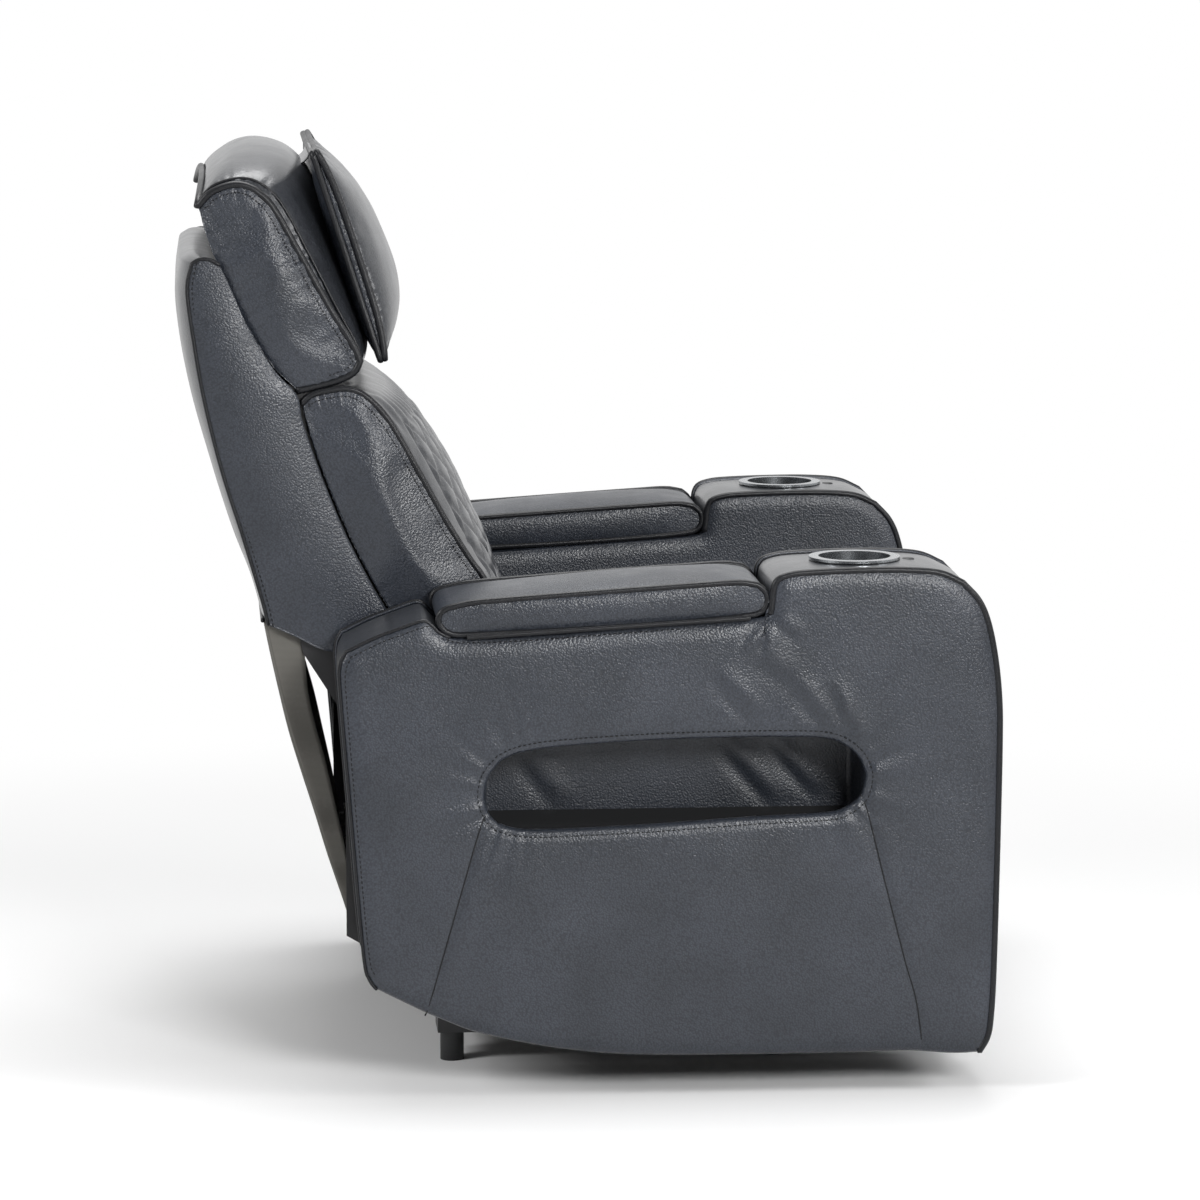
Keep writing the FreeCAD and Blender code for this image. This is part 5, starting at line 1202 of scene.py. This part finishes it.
def hung_cloth():
    """Rear cloth: across the back in a straight run, turned forwards at both sides into wings that narrow
    downwards. The turn is a soft square, the cloth narrows by the square of its drop, and a slow wave fades
    to its top and foot."""
    flap_line, wing_line = curve(flap_points, FLAP_ROWS), curve(wing_points, FLAP_ROWS)
    at = np.linspace(-1, 1, FLAP_COLUMNS) * (FLAP_HALF + WING_WIDE)
    past = np.abs(at) - FLAP_HALF
    over = np.clip(past, 0, None) / WING_WIDE
    soft = np.clip((past + 0.010) / 0.020, 0, 1) ** 2 * 0.12
    share = np.clip(np.maximum(over, soft * (over < 0.12)), 0, 1)
    flat = flap_line[:, None] + (wing_line - flap_line)[:, None] * share[None, :, None]
    drop = np.linspace(0, 1, FLAP_ROWS)[:, None]
    y = np.sign(at) * np.minimum(np.abs(at), FLAP_HALF) * (1 - 0.02 * drop**2)
    flat[..., 0] += 0.003 * np.cos(at * 17) * (past < 0) * (4 * drop * (1 - drop))
    return lifted(flat, y)


verts, faces = surface(hung_cloth(), (-1, 0, 0))
flap = make("rear_cloth", verts, faces, flap_cloth, None, slot="flap_cloth", wall=0.0015)
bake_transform(flap)
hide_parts("rear_flap")


# Camera, light and floor


def placed(obj, right, up, back, at):
    """Puts an object into the scene with its three axes and its place."""
    scene.collection.objects.link(obj)
    axes = np.stack([right, up, back], 1).tolist()
    obj.matrix_world = Matrix([[*row, p] for row, p in zip(axes, at)] + [[0, 0, 0, 1]])


eye = bpy.data.objects.new("camera", bpy.data.cameras.new("camera"))
turn, rise = math.radians(-4.6), math.radians(8.0)
right = np.array([math.cos(turn), math.sin(turn), 0])
back = np.array([math.sin(turn) * math.cos(rise), -math.cos(turn) * math.cos(rise), math.sin(rise)])
placed(eye, right, np.cross(back, right), back, (-0.463, -6.332, 1.424))
eye.data.lens = 152.0
eye.data.sensor_width = 36.0
scene.camera = eye


def lamp(name, at, towards, size, power):
    """A soft rectangular lamp: its back axis runs from what it lights to where it stands."""
    data = bpy.data.lights.new(name, "AREA")
    data.shape = "RECTANGLE"
    data.size, data.size_y = size
    data.energy = power
    away = unit(np.array(at, float) - np.array(towards, float))
    side = unit(np.cross((0.0, 1.0, 0.0) if abs(away[2]) > 0.9 else (0.0, 0.0, 1.0), away))
    placed(bpy.data.objects.new(name, data), side, np.cross(away, side), away, at)


lamp("overhead_softbox", (0.0, 0.5, 3.2), (0, 0, 0.5), (2.0, 2.0), 75)
lamp("side_softbox", (1.4, -4.3, 2.1), (0, 0, 0.6), (1.3, 1.0), 150)
lamp("front_softbox", (3.2, -1.6, 2.2), (0, 0, 0.6), (1.2, 1.2), 45)
lamp("rear_softbox", (-3.2, -1.8, 2.4), (0, 0, 0.7), (1.0, 1.4), 75)

AMBIENT = 0.22  # the room's light on the chair
world = bpy.data.worlds.new("studio")
scene.world = world
world.use_nodes = True
tree = world.node_tree
backdrop = tree.nodes["Background"].inputs
backdrop["Color"].default_value = (1, 1, 1, 1)
rays = node(tree, "ShaderNodeLightPath").outputs
looked = maths(tree, "MAXIMUM", rays["Is Camera Ray"], rays["Is Transmission Ray"])
# Gloss shows the white backdrop behind the chair, and the dimmer room on the side where the lamps stand.
towards = node(tree, "ShaderNodeSeparateXYZ", {0: node(tree, "ShaderNodeTexCoord").outputs["Generated"]})
room = {"Value": towards.outputs["Y"], "From Min": -0.5, "From Max": 0.3, "To Min": 0.25, "To Max": 1.0}
room = node(tree, "ShaderNodeMapRange", room)
gloss = maths(tree, "MULTIPLY", rays["Is Glossy Ray"], room.outputs["Result"])
seen = maths(tree, "MAXIMUM", looked, gloss)
tree.links.new(maths(tree, "MAXIMUM", seen, AMBIENT), backdrop["Strength"])

# The floor is white paint that keeps the chair's shadow; further out it fades into the backdrop.
FLOOR_CLEAR, FLOOR_WHITE, FLOOR_HALF = 0.7, 2.2, 40  # from the chair, in metres
mat, tree, surface_in, place = blank("white_floor_paint", {"Base Color": linear("#f2f2f2"), "Roughness": 0.9})
far = node(tree, "ShaderNodeVectorMath", {0: place}, operation="LENGTH")
fade = {"Value": far.outputs["Value"], "From Min": FLOOR_CLEAR, "From Max": FLOOR_WHITE}
fade = node(tree, "ShaderNodeMapRange", fade, interpolation_type="SMOOTHSTEP")
rays = node(tree, "ShaderNodeLightPath").outputs
looked = maths(tree, "MAXIMUM", rays["Is Camera Ray"], rays["Is Transmission Ray"])
seen = maths(tree, "MAXIMUM", looked, rays["Is Glossy Ray"])
share = maths(tree, "MULTIPLY", seen, fade.outputs["Result"])
white = node(tree, "ShaderNodeEmission", {"Color": (1, 1, 1, 1), "Strength": 1.0})
paint = tree.nodes["Principled BSDF"].outputs["BSDF"]
both = {0: share, 1: paint, 2: white.outputs["Emission"]}
node(tree, "ShaderNodeMixShader", both, into=tree.nodes["Material Output"].inputs["Surface"])
corners = np.array([(-1, -1, 0), (1, -1, 0), (1, 1, 0), (-1, 1, 0)], float) * FLOOR_HALF
mesh = bpy.data.meshes.new("floor")
mesh.from_pydata(corners.tolist(), [], [(0, 1, 2, 3)])
mesh.materials.append(mat)
floor = bpy.data.objects.new("floor", mesh)
scene.collection.objects.link(floor)

scene.view_settings.view_transform = "Standard"
